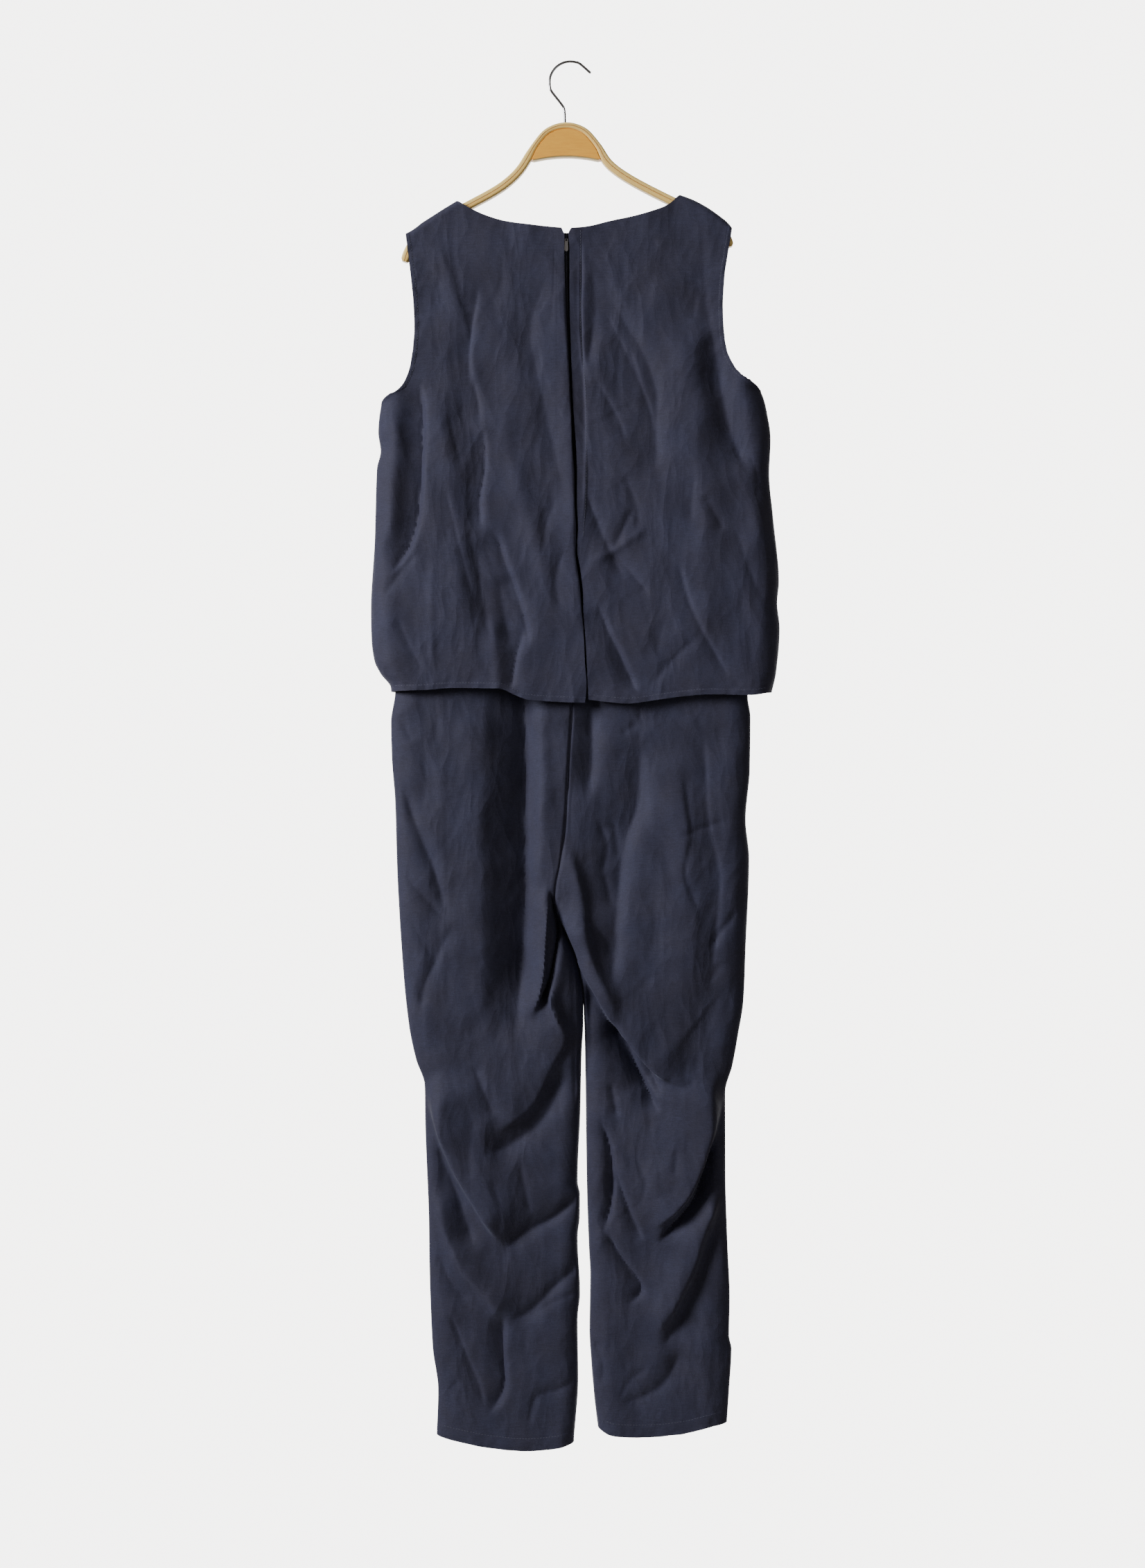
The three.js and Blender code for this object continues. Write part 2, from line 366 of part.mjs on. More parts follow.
// One cloth piece: a grid between four boundary curves, lifted to its height and given a wall.
function clothPiece({ name, colour, left, right, top, bottom, height, face, columns, rows }) {
  const outward = face === 'back' ? -1 : 1;
  const cornersZ = { tl: left.topZ, bl: left.bottomZ, tr: right.topZ, br: right.bottomZ };
  const tl = { x: left.at(cornersZ.tl), z: cornersZ.tl };
  const bl = { x: left.at(cornersZ.bl), z: cornersZ.bl };
  const tr = { x: right.at(cornersZ.tr), z: cornersZ.tr };
  const br = { x: right.at(cornersZ.br), z: cornersZ.br };
  const place = (s, t) => {
    const leftZ = mix(tl.z, bl.z, t);
    const rightZ = mix(tr.z, br.z, t);
    const topX = mix(tl.x, tr.x, s);
    const bottomX = mix(bl.x, br.x, s);
    const x = mix(left.at(leftZ), right.at(rightZ), s) + mix(topX, bottomX, t)
      - mix(mix(tl.x, tr.x, s), mix(bl.x, br.x, s), t);
    const z = mix(leftZ, rightZ, s) + mix(top(topX), bottom(bottomX), t)
      - mix(mix(tl.z, tr.z, s), mix(bl.z, br.z, s), t);
    return { x, z };
  };
  const step = 0.02;
  const outer = [];
  const inner = [];
  for (const t of rows) {
    for (const s of columns) {
      const { x, z } = place(s, t);
      const stand = height(x, z);
      const lean = new THREE.Vector3(
        (height(x + step, z) - height(x - step, z)) / (2 * step),
        -outward,
        (height(x, z + step) - height(x, z - step)) / (2 * step),
      );
      lean.normalize();
      if (s === columns[0]) lean.lerp(new THREE.Vector3(1, 0, 0), left.closed(mix(tl.z, bl.z, t)));
      if (s === columns[columns.length - 1]) {
        lean.lerp(new THREE.Vector3(-1, 0, 0), right.closed(mix(tr.z, br.z, t)));
      }
      const inward = lean.normalize().multiplyScalar(WALL);
      const y = outward * (stand + SEAM_GAP / 2);
      outer.push([x, y, z]);
      inner.push([x + inward.x, y + inward.y, z + inward.z]);
    }
  }
  return wallMesh(name, colour, outer, inner, rows.length, columns.length, outward);
}

const cloth = (color) => new THREE.MeshStandardMaterial({ color, roughness: 0.85, metalness: 0 });

// Closes two grids of points into one thin body.
function wallMesh(name, colour, outer, inner, rowCount, columnCount, outward) {
  const points = [...outer, ...inner];
  const shift = outer.length;
  const triangles = [];
  const quad = (a, b, c, d) => {
    if (outward < 0) triangles.push(a, b, c, a, c, d);
    else triangles.push(a, c, b, a, d, c);
  };
  const at = (row, column) => row * columnCount + column;
  for (let row = 0; row < rowCount - 1; row += 1) {
    for (let column = 0; column < columnCount - 1; column += 1) {
      const a = at(row, column);
      const b = at(row + 1, column);
      const c = at(row + 1, column + 1);
      const d = at(row, column + 1);
      quad(a, b, c, d);
      quad(a + shift, d + shift, c + shift, b + shift);
    }
  }
  const strip = (a, b) => quad(a, b, b + shift, a + shift);
  for (let row = 0; row < rowCount - 1; row += 1) {
    strip(at(row + 1, 0), at(row, 0));
    strip(at(row, columnCount - 1), at(row + 1, columnCount - 1));
  }
  for (let column = 0; column < columnCount - 1; column += 1) {
    strip(at(0, column), at(0, column + 1));
    strip(at(rowCount - 1, column + 1), at(rowCount - 1, column));
  }
  const geometry = new THREE.BufferGeometry();
  geometry.setAttribute('position', new THREE.Float32BufferAttribute(points.flat(), 3));
  geometry.setIndex(triangles);
  geometry.computeVertexNormals();
  return namedMesh(name, geometry, cloth(colour));
}

function namedMesh(name, geometry, material) {
  const mesh = new THREE.Mesh(geometry, material);
  mesh.name = name;
  return mesh;
}

// Grid lines: close together where the cloth turns into an edge, and even between.
const TURN_ANGLES = [0, 34, 62];
function gridLines(count, startTurn, endTurn, stops = []) {
  const turn = (reach) => TURN_ANGLES.map((angle) => reach * (1 - Math.cos(degToRad(angle))));
  const start = startTurn > 0 ? turn(startTurn) : [0];
  const end = endTurn > 0 ? turn(endTurn).map((value) => 1 - value).reverse() : [1];
  const from = startTurn > 0 ? startTurn : 0;
  const to = endTurn > 0 ? 1 - endTurn : 1;
  const first = startTurn > 0 ? 0 : 1;
  const last = endTurn > 0 ? count : count - 1;
  const middle = [];
  for (let i = first; i <= last; i += 1) middle.push(mix(from, to, i / count));
  const crowded = (line) => stops.some((stop) => Math.abs(stop - line) < (0.4 * (to - from)) / count);
  return [...start, ...middle.filter((line) => !crowded(line)), ...stops, ...end].sort((a, b) => a - b);
}

// Shares of a top edge along the shoulder, at the neck point and just inside it.
const NECK_STEPS = [-44, -30, -15, 0, 4.5, 12];
const neckStops = (neck, inward, startX, endX) =>
  NECK_STEPS.map((step) => (neck.x + inward * step - startX) / (endX - startX));

// Grid lines through chosen levels of an edge, as shares of its length.
function linesThrough(levels, topZ, bottomZ) {
  const inside = levels.filter((z) => z < topZ - 1 && z > bottomZ + 1);
  return [topZ, ...inside, bottomZ].map((z) => (z - topZ) / (bottomZ - topZ));
}

// Levels of the top layer: close over the shoulder and at the armhole's ledge, and even between.
const SHOULDER_LEVELS = [1.2, 4, 7.6, 11.5];
const LEDGE_LEVELS = [24, 14, 6, 0, -14];
const ARMHOLE_LEDGE = { left: -396.3, right: -383 };
const ROW_SPACING = { back: 27, front: 54 };
const topLevels = (startZ, ledgeZ, spacing) => {
  const levels = SHOULDER_LEVELS.map((drop) => startZ - drop);
  for (let z = startZ - 14 - spacing; z > ledgeZ + 34; z -= spacing) levels.push(z);
  levels.push(...LEDGE_LEVELS.map((rise) => ledgeZ + rise));
  for (let z = ledgeZ - 14 - spacing; z > -744; z -= spacing) levels.push(z);
  return levels;
};

const CLOTH = { top: 0x3b3c4b, trousers: 0x34343f, bodice: 0x2b2b36 };
const never = () => 0;
const below = (level) => (z) => (z <= level ? 1 : 0);

// Top layer
const topBackHeight = (x, z) => topHeight('back', TOP_BACK_FOLDS, x, z);
const topFrontHeight = (x, z) => topHeight('front', TOP_FRONT_FOLDS, x, z);
const backNeckZ = (x) => shoulderAndNeckZ(x, 0);
const frontNeckZ = (x) => shoulderAndNeckZ(x, FRONT_NECK_DROP);
const SHOULDER_END_LEFT = SHOULDER_LEFT[0];
const SHOULDER_END_RIGHT = SHOULDER_RIGHT[SHOULDER_RIGHT.length - 1];
const HEM_END_LEFT = TOP_HEM[0];
const HEM_END_RIGHT = TOP_HEM[TOP_HEM.length - 1];
const topLeftEdge = {
  at: topLeftX, topZ: SHOULDER_END_LEFT.z, bottomZ: HEM_END_LEFT.z, closed: below(UNDERARM_LEFT.z),
};
const topRightEdge = {
  at: topRightX, topZ: SHOULDER_END_RIGHT.z, bottomZ: HEM_END_RIGHT.z, closed: below(UNDERARM_RIGHT.z),
};
const topRows = (edge, ledgeZ, spacing) =>
  linesThrough(topLevels(edge.topZ, ledgeZ, spacing), edge.topZ, edge.bottomZ);

const openingEdge = (rows, at) => ({
  at, topZ: backNeckZ(rows[0].x), bottomZ: topHemZ(rows[rows.length - 1].x), closed: never,
});

const topBackLeft = clothPiece({
  name: 'top_back_left',
  colour: CLOTH.top,
  left: topLeftEdge,
  right: openingEdge(OPENING_LEFT, openingLeftX),
  top: backNeckZ,
  bottom: topHemZ,
  height: topBackHeight,
  face: 'back',
  columns: gridLines(11, 0.13, 0, neckStops(NECK_POINT_LEFT, 1, SHOULDER_END_LEFT.x, OPENING_LEFT[0].x)),
  rows: topRows(topLeftEdge, ARMHOLE_LEDGE.left, ROW_SPACING.back),
});
const topBackRight = clothPiece({
  name: 'top_back_right',
  colour: CLOTH.top,
  left: openingEdge(OPENING_RIGHT, openingRightX),
  right: topRightEdge,
  top: backNeckZ,
  bottom: topHemZ,
  height: topBackHeight,
  face: 'back',
  columns: gridLines(
    11, 0, 0.13, neckStops(NECK_POINT_RIGHT, -1, OPENING_RIGHT[0].x, SHOULDER_END_RIGHT.x),
  ),
  rows: topRows(topRightEdge, ARMHOLE_LEDGE.right, ROW_SPACING.back),
});
const hemWidth = HEM_END_RIGHT.x - HEM_END_LEFT.x;
const frontHemZ = (x) => mix(HEM_END_LEFT.z, HEM_END_RIGHT.z, (x - HEM_END_LEFT.x) / hemWidth);
const topFront = clothPiece({
  name: 'top_front',
  colour: CLOTH.top,
  left: topLeftEdge,
  right: topRightEdge,
  top: frontNeckZ,
  bottom: frontHemZ,
  height: topFrontHeight,
  face: 'front',
  columns: gridLines(11, 0.065, 0.065, [
    ...neckStops(NECK_POINT_LEFT, 1, SHOULDER_END_LEFT.x, SHOULDER_END_RIGHT.x),
    ...neckStops(NECK_POINT_RIGHT, -1, SHOULDER_END_LEFT.x, SHOULDER_END_RIGHT.x),
  ]),
  rows: topRows(topLeftEdge, ARMHOLE_LEDGE.left, ROW_SPACING.front),
});

// Inner bodice, which carries the zip and the trousers
const bodiceLeftX = (z) => topLeftX(z) + bodiceInset('left', z);
const bodiceRightX = (z) => topRightX(z) - bodiceInset('right', z);
const bodiceTopZ = (neckDrop) => (x) => shoulderAndNeckZ(x, neckDrop) - bodiceDrop(x);
const BODICE_LEVELS = [-260, -320, -370, -396, -420, -480];
const bodiceBottomZ = WAIST_Z + SEAM_GAP / 2;
const bodiceStart = (shoulder, inset) => shoulderAndNeckZ(shoulder.x + inset, 0) - BODICE_SHOULDER_DROP;
const bodiceLeftStart = bodiceStart(SHOULDER_END_LEFT, BODICE_ARMHOLE_INSET);
const bodiceRightStart = bodiceStart(SHOULDER_END_RIGHT, -BODICE_ARMHOLE_INSET);
const bodiceLeftEdge = {
  at: bodiceLeftX,
  startX: bodiceLeftX(bodiceLeftStart),
  topZ: bodiceLeftStart,
  bottomZ: bodiceBottomZ,
  closed: below(UNDERARM_LEFT.z),
};
const bodiceRightEdge = {
  at: bodiceRightX,
  startX: bodiceRightX(bodiceRightStart),
  topZ: bodiceRightStart,
  bottomZ: bodiceBottomZ,
  closed: below(UNDERARM_RIGHT.z),
};
const bodiceZipX = (side) => centreX(ZIP.topZ) + (side * ZIP.bodiceGap) / 2;
const bodiceZipEdge = (side) => ({
  at: (z) => centreX(z) + side * ZIP.bodiceGap / 2,
  topZ: bodiceTopZ(0)(bodiceZipX(side)),
  bottomZ: bodiceBottomZ,
  closed: never,
});
const flat = (z) => () => z;
const BODICE_SHOULDER_LEVELS = [1.6, 5, 9.5, 14];
const bodiceRows = (startZ) => {
  const levels = [...BODICE_SHOULDER_LEVELS.map((drop) => startZ - drop), ...BODICE_LEVELS];
  return linesThrough(levels, startZ, bodiceBottomZ);
};

const bodiceBackLeft = clothPiece({
  name: 'bodice_back_left',
  colour: CLOTH.bodice,
  left: bodiceLeftEdge,
  right: bodiceZipEdge(-1),
  top: bodiceTopZ(0),
  bottom: flat(bodiceBottomZ),
  height: bodiceBackHeight,
  face: 'back',
  columns: gridLines(3, 0.15, 0, neckStops(NECK_POINT_LEFT, 1, bodiceLeftEdge.startX, bodiceZipX(-1))),
  rows: bodiceRows(bodiceLeftStart),
});
const bodiceBackRight = clothPiece({
  name: 'bodice_back_right',
  colour: CLOTH.bodice,
  left: bodiceZipEdge(1),
  right: bodiceRightEdge,
  top: bodiceTopZ(0),
  bottom: flat(bodiceBottomZ),
  height: bodiceBackHeight,
  face: 'back',
  columns: gridLines(3, 0, 0.15, neckStops(NECK_POINT_RIGHT, -1, bodiceZipX(1), bodiceRightEdge.startX)),
  rows: bodiceRows(bodiceRightStart),
});
const bodiceFront = clothPiece({
  name: 'bodice_front',
  colour: CLOTH.bodice,
  left: bodiceLeftEdge,
  right: bodiceRightEdge,
  top: bodiceTopZ(FRONT_NECK_DROP),
  bottom: flat(bodiceBottomZ),
  height: (x, z) => bodiceHeight('front', x, z),
  face: 'front',
  columns: gridLines(4, 0.075, 0.075, [
    ...neckStops(NECK_POINT_LEFT, 1, bodiceLeftEdge.startX, bodiceRightEdge.startX),
    ...neckStops(NECK_POINT_RIGHT, -1, bodiceLeftEdge.startX, bodiceRightEdge.startX),
  ]),
  rows: bodiceRows(bodiceLeftStart),
});

// Trousers: two backs and two fronts, joined at the sides, the centre seams and inside the legs
const BACK_LEVELS = [
  -640, -700, -742, -762, -790, -820, -850, -880, -910, -940, -966, -988, -1004, -1020, -1036, -1052, -1072,
  -1094, -1118, -1142, -1168, -1194, -1220, -1246, -1272, -1298, -1324, -1350, -1378, -1406, -1436, -1468,
  -1502, -1538, -1576, -1612,
];
const FRONT_LEVELS = [
  -650, -742, -762, -830, -900, -970, -1000, -1020, -1036, -1052, -1090, -1150, -1220, -1290, -1360,
  -1440, -1540,
];
const parting = (z) => eased((CROTCH_START_Z - z) / (CROTCH_START_Z - CROTCH_END_Z));
const zipRoom = (z) => mix(ZIP.bodiceGap / 2, SEAM_GAP / 2, eased((ZIP.bottomZ - z) / 14));
const trouserTopZ = WAIST_Z - SEAM_GAP / 2;
const always = () => 1;

function trouserPiece(name, face, leg) {
  const left = leg === 'left';
  const folds = face === 'back' ? TROUSER_BACK_FOLDS : TROUSER_FRONT_FOLDS;
  const levels = face === 'back' ? BACK_LEVELS : FRONT_LEVELS;
  const count = face === 'back' ? 9 : 5;
  const hemZ = left ? legHemLeftZ : legHemRightZ;
  const hem = left ? LEG_HEM_LEFT : LEG_HEM_RIGHT;
  const insideX = left ? insideLeftX : insideRightX;
  const room = (z) => (face === 'back' ? zipRoom(z) : SEAM_GAP / 2);
  const outside = {
    at: left ? outsideLeftX : outsideRightX,
    topZ: trouserTopZ,
    bottomZ: left ? hem[0].z : hem[hem.length - 1].z,
    closed: always,
  };
  const inside = {
    at: (z) => insideX(z) + (left ? -room(z) : room(z)),
    topZ: trouserTopZ,
    bottomZ: left ? hem[hem.length - 1].z : hem[0].z,
    closed: parting,
  };
  return clothPiece({
    name,
    colour: CLOTH.trousers,
    left: left ? outside : inside,
    right: left ? inside : outside,
    top: flat(trouserTopZ),
    bottom: hemZ,
    height: (x, z) => trouserHeight(face, folds, x, z, leg),
    face,
    columns: left ? gridLines(count, 0.15, 0.12) : gridLines(count, 0.12, 0.15),
    rows: linesThrough(levels, trouserTopZ, outside.bottomZ),
  });
}
const trouserBackLeft = trouserPiece('trouser_back_left', 'back', 'left');
const trouserBackRight = trouserPiece('trouser_back_right', 'back', 'right');
const trouserFrontLeft = trouserPiece('trouser_front_left', 'front', 'left');
const trouserFrontRight = trouserPiece('trouser_front_right', 'front', 'right');

// Zip: a narrow chain between the back pieces, a slider on it and a hanging pull tab
const seatHeight = (x, z) => trouserHeight('back', TROUSER_BACK_FOLDS, x, z, 'left');
const CHAIN_LEVELS = [-260, -320, -370, -396, -420, -480, WAIST_Z, -650, -700];
const chainTopZ = ZIP.topZ + 5;
const chainEdge = (side) => ({
  at: (z) => centreX(z) + side * ZIP.chainWidth / 2, topZ: chainTopZ, bottomZ: ZIP.bottomZ, closed: never,
});
const zipChain = clothPiece({
  name: 'zip_chain',
  colour: CLOTH.bodice,
  left: chainEdge(-1),
  right: chainEdge(1),
  top: flat(chainTopZ),
  bottom: flat(ZIP.bottomZ),
  height: (x, z) => (z > WAIST_Z ? bodiceBackHeight(x, z) : seatHeight(x, z)),
  face: 'back',
  columns: [0, 1],
  rows: linesThrough(CHAIN_LEVELS, chainTopZ, ZIP.bottomZ),
});

const metal = () => new THREE.MeshStandardMaterial({ color: 0x6c6c74, roughness: 0.35, metalness: 0.9 });

// Flat plate of a given outline, its outline drawn in X and Z, standing from one Y to another.
function plate(shape, nearY, farY) {
  const depth = farY - nearY;
  const geometry = new THREE.ExtrudeGeometry(shape, { depth, bevelEnabled: false, curveSegments: 6 });
  geometry.rotateX(Math.PI / 2);
  geometry.translate(0, farY, 0);
  return geometry;
}

// Turns a closed geometry into a solid that can be joined or cut.
function solidFrom(geometry) {
  const bare = geometry.clone();
  bare.deleteAttribute('normal');
  bare.deleteAttribute('uv');
  const merged = mergeVertices(bare, 1e-4);
  return new wasm.Manifold(new wasm.Mesh({
    numProp: 3,
    vertProperties: new Float32Array(merged.attributes.position.array),
    triVerts: new Uint32Array(merged.index.array),
  }));
}

function geometryFrom(solid) {
  const { vertProperties, triVerts } = solid.getMesh();
  const geometry = new THREE.BufferGeometry();
  geometry.setAttribute('position', new THREE.BufferAttribute(vertProperties, 3));
  geometry.setIndex(new THREE.BufferAttribute(triVerts, 1));
  geometry.computeVertexNormals();
  return geometry;
}

function roundedBar(width, topZ, bottomZ, radius) {
  const half = width / 2;
  const shape = new THREE.Shape();
  shape.moveTo(-half + radius, bottomZ);
  shape.absarc(half - radius, bottomZ + radius, radius, -Math.PI / 2, 0);
  shape.absarc(half - radius, topZ - radius, radius, 0, Math.PI / 2);
  shape.absarc(-half + radius, topZ - radius, radius, Math.PI / 2, Math.PI);
  shape.absarc(-half + radius, bottomZ + radius, radius, Math.PI, Math.PI * 1.5);
  return shape;
}

// The slider is a rounded block with a staple-shaped bridge over its face.
const sliderX = centreX(SLIDER.z);
const sliderBackY = -(bodiceBackHeight(sliderX, SLIDER.z) + SEAM_GAP / 2) - SEAM_GAP;
const sliderFaceY = sliderBackY - SLIDER.depth;
const pivot = {
  y: sliderFaceY - BRIDGE.space / 2,
  z: BRIDGE.lowZ + BRIDGE.bar + PULL.play + PULL.thick / 2,
};

function sliderGeometry() {
  const half = SLIDER.length / 2;
  const outline = roundedBar(SLIDER.width, SLIDER.z + half, SLIDER.z - half, SLIDER.corner);
  const block = plate(outline, sliderFaceY, sliderBackY);
  const outerY = sliderFaceY - BRIDGE.space - BRIDGE.bar;
  const height = BRIDGE.highZ - BRIDGE.lowZ;
  const middleZ = (BRIDGE.highZ + BRIDGE.lowZ) / 2;
  const bar = new THREE.BoxGeometry(BRIDGE.width, BRIDGE.bar, height);
  bar.translate(0, outerY + BRIDGE.bar / 2, middleZ);
  const legDepth = BRIDGE.space + BRIDGE.bar + 0.4;
  let solid = solidFrom(block).add(solidFrom(bar));
  for (const legZ of [BRIDGE.lowZ + BRIDGE.bar / 2, BRIDGE.highZ - BRIDGE.bar / 2]) {
    const leg = new THREE.BoxGeometry(BRIDGE.width, legDepth, BRIDGE.bar);
    leg.translate(0, outerY + legDepth / 2, legZ);
    solid = solid.add(solidFrom(leg));
  }
  return geometryFrom(solid);
}

// The tab is a teardrop plate whose cross bar runs under the bridge.
function pullGeometry() {
  const barTop = PULL.thick / 2;
  const neck = PULL.neckWidth / 2;
  const bulb = PULL.width / 2;
  const shape = new THREE.Shape();
  shape.moveTo(-neck, barTop);
  shape.lineTo(-neck, -PULL.window - 2);
  shape.bezierCurveTo(-neck, -PULL.length / 2, -bulb, -PULL.length / 2 - 1, -bulb, -PULL.length + bulb);
  shape.absarc(0, -PULL.length + bulb, bulb, Math.PI, Math.PI * 2);
  shape.bezierCurveTo(bulb, -PULL.length / 2 - 1, neck, -PULL.length / 2, neck, -PULL.window - 2);
  shape.lineTo(neck, barTop);
  const inside = neck - PULL.arm;
  const window = new THREE.Path();
  window.moveTo(-inside, -barTop);
  window.lineTo(inside, -barTop);
  window.lineTo(inside, -barTop - PULL.window);
  window.lineTo(-inside, -barTop - PULL.window);
  shape.holes.push(window);
  return plate(shape, -PULL.thick / 2, PULL.thick / 2);
}

const slider = namedMesh('zip_slider', sliderGeometry(), metal());
slider.position.x = sliderX;
const pull = namedMesh('zip_pull', pullGeometry(), metal());
pull.position.set(sliderX, pivot.y, pivot.z);

// Hanger: one bent band of wood, with a panel filling the top of its arch
const bandCurve = new THREE.CatmullRomCurve3(
  BAND_TOP_EDGE.map((point) => new THREE.Vector3(point.x, 0, point.z)), false, 'centripetal',
);
const BAND_STEPS = 52;
const bandStations = bandCurve.getSpacedPoints(BAND_STEPS).map((point, index) => {
  const tangent = bandCurve.getTangentAt(index / BAND_STEPS);
  const thick = mix(HANGER.band, HANGER.bandAtPanel, eased((point.z - HANGER.panelZ) / 18));
  return { x: point.x, z: point.z, downX: tangent.z, downZ: -tangent.x, thick };
});

// A place under a station of the band's outer edge.
const pointBelow = (station, down) => ({
  x: station.x + station.downX * down,
  z: station.z + station.downZ * down,
});

function bandGeometry() {
  const halfDepth = HANGER.depth / 2;
  const edge = HANGER.corner;
  const ring = (station) => {
    const t = station.thick;
    const section = [
      [0, -halfDepth + edge], [0, halfDepth - edge], [edge, halfDepth], [t - edge, halfDepth],
      [t, halfDepth - edge], [t, -halfDepth + edge], [t - edge, -halfDepth], [edge, -halfDepth],
    ];
    return section.map(([down, y]) => {
      const place = pointBelow(station, down);
      return [place.x, y, place.z];
    });
  };
  const rings = bandStations.map(ring);
  const sides = rings[0].length;
  const triangles = [];
  for (let i = 0; i < rings.length - 1; i += 1) {
    for (let j = 0; j < sides; j += 1) {
      const next = (j + 1) % sides;
      const a = i * sides + j;
      const b = i * sides + next;
      triangles.push(a, b + sides, b, a, a + sides, b + sides);
    }
  }
  const last = (rings.length - 1) * sides;
  for (let j = 1; j < sides - 1; j += 1) {
    triangles.push(0, j, j + 1);
    triangles.push(last, last + j + 1, last + j);
  }
  const geometry = new THREE.BufferGeometry();
  geometry.setAttribute('position', new THREE.Float32BufferAttribute(rings.flat(2), 3));
  geometry.setIndex(triangles);
  geometry.computeVertexNormals();
  return geometry;
}

function panelGeometry() {
  const under = bandStations
    .map((station) => pointBelow(station, station.thick + HANGER.gap))
    .filter((point) => point.z > HANGER.panelZ - 4);
  const shape = new THREE.Shape(under.map((point) => new THREE.Vector2(point.x, point.z)));
  const first = under[0];
  const last = under[under.length - 1];
  shape.quadraticCurveTo((first.x + last.x) / 2, HANGER.panelLowZ, first.x, first.z);
  return plate(shape, -HANGER.panelDepth / 2, HANGER.panelDepth / 2);
}

// Hook: steel wire bent round a circle, with a straight tip and a stem down to the wood
function hookGeometry() {
  const path = [new THREE.Vector3(HOOK.tipX, 0, HOOK.tipZ)];
  for (let angle = 62; angle <= 206; angle += 12) {
    const x = HOOK.radius * Math.cos(degToRad(angle));
    const z = HOOK.centreZ + HOOK.radius * Math.sin(degToRad(angle));
    path.push(new THREE.Vector3(x, 0, z));
  }
  path.push(new THREE.Vector3(HOOK.bendX - 4, 0, HOOK.bendZ + 5));
  path.push(new THREE.Vector3(HOOK.bendX, 0, HOOK.bendZ - 1));
  path.push(new THREE.Vector3(HOOK.stemX - 0.4, 0, HOOK.bendZ - 7));
  path.push(new THREE.Vector3(HOOK.stemX, 0, HOOK.footZ));
  const curve = new THREE.CatmullRomCurve3(path, false, 'centripetal');
  const section = new THREE.Shape();
  section.absarc(0, 0, HOOK.wire / 2, 0, Math.PI * 2);
  const sweep = { steps: 36, curveSegments: 5, extrudePath: curve, bevelEnabled: false };
  return new THREE.ExtrudeGeometry(section, sweep);
}

const wood = (color) => new THREE.MeshStandardMaterial({ color, roughness: 0.5, metalness: 0 });
const hangerBand = namedMesh('hanger_band', bandGeometry(), wood(0xe7bb76));
const hangerPanel = namedMesh('hanger_panel', panelGeometry(), wood(0xdaa057));
const hook = namedMesh('hanger_hook', hookGeometry(), new THREE.MeshStandardMaterial({
  color: 0xb9b9bc, roughness: 0.2, metalness: 1,
}));

const jumpsuit = new THREE.Group();
jumpsuit.add(
  hook, hangerBand, hangerPanel,
  topBackLeft, topBackRight, topFront,
  bodiceBackLeft, bodiceBackRight, bodiceFront,
  trouserBackLeft, trouserBackRight, trouserFrontLeft, trouserFrontRight,
  zipChain, slider, pull,
);

export default jumpsuit;
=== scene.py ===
"""Looks of a sleeveless jumpsuit on a bent wooden hanger, seen from behind.

Tables and lengths are in millimetres unless a name says otherwise, and meshes are made in metres.
The garment's back faces -Y and +X is the wearer's right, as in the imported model.
"""
import math

import bpy
import numpy as np
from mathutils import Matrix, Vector


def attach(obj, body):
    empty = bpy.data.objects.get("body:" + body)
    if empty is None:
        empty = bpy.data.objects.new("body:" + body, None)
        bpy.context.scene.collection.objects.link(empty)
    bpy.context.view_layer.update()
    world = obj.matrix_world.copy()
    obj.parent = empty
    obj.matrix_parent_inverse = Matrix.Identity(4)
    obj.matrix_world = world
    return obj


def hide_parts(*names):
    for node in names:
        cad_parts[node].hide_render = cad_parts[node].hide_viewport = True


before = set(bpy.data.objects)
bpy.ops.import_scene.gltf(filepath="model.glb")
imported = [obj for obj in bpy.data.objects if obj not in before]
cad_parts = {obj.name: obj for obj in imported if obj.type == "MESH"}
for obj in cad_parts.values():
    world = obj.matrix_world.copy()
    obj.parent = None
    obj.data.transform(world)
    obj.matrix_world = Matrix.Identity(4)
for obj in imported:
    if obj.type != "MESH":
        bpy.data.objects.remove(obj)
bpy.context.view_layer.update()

MM = 0.001
BODY = "garment"
CLOTH = 0.8                # thickness of the visible cloth
SEAM_HALF = 0.02           # half the gap between front and back at a seam
SEAM_LAP = 0.3             # how far the seat's halves pass each other at its middle seam
CREASE_DEPTHS = (0.7, 1.6) # how much deeper shallow and deep creases go than their tables say
SLACK = 2.5                # how far the top layer's loose cloth stands off its solid
SHARP_WIDTH = 8            # troughs with a side up to this wide are sharp there
SHARP_SIDE = 0.6          # narrows that side
UNDERCUT = 0.35            # how far that side hangs over the trough, as a share of its width
TROUGH_POWER, RIDGE_POWER = 1.25, 1.8   # 2 is a soft round crease, 1 is a knife edge
DEEPEST = 8                # how far a trouser trough may pass the middle plane
WAIST_Z = -580
CROTCH_START_Z, CROTCH_END_Z = -985, -1048
SHOULDER_ROUND, SIDE_ROUND, LEG_ROUND = 9, 30, 22
UNDERARM_LEFT, UNDERARM_RIGHT = (-226.6, -410.4), (228.2, -394.7)
NECK_POINT_LEFT, NECK_POINT_RIGHT = (-136.9, -166.4), (132.0, -159.1)
SHOULDER_LEAN = math.cos(math.radians(33))
FRONT_NECK_DROP = 26
BODICE_SHOULDER_DROP, BODICE_NECK_DROP, BODICE_INSET = 2.3, 5, 6
ZIP_TOP_Z, ZIP_BOTTOM_Z, ZIP_GAP = -213, -742, 4.4

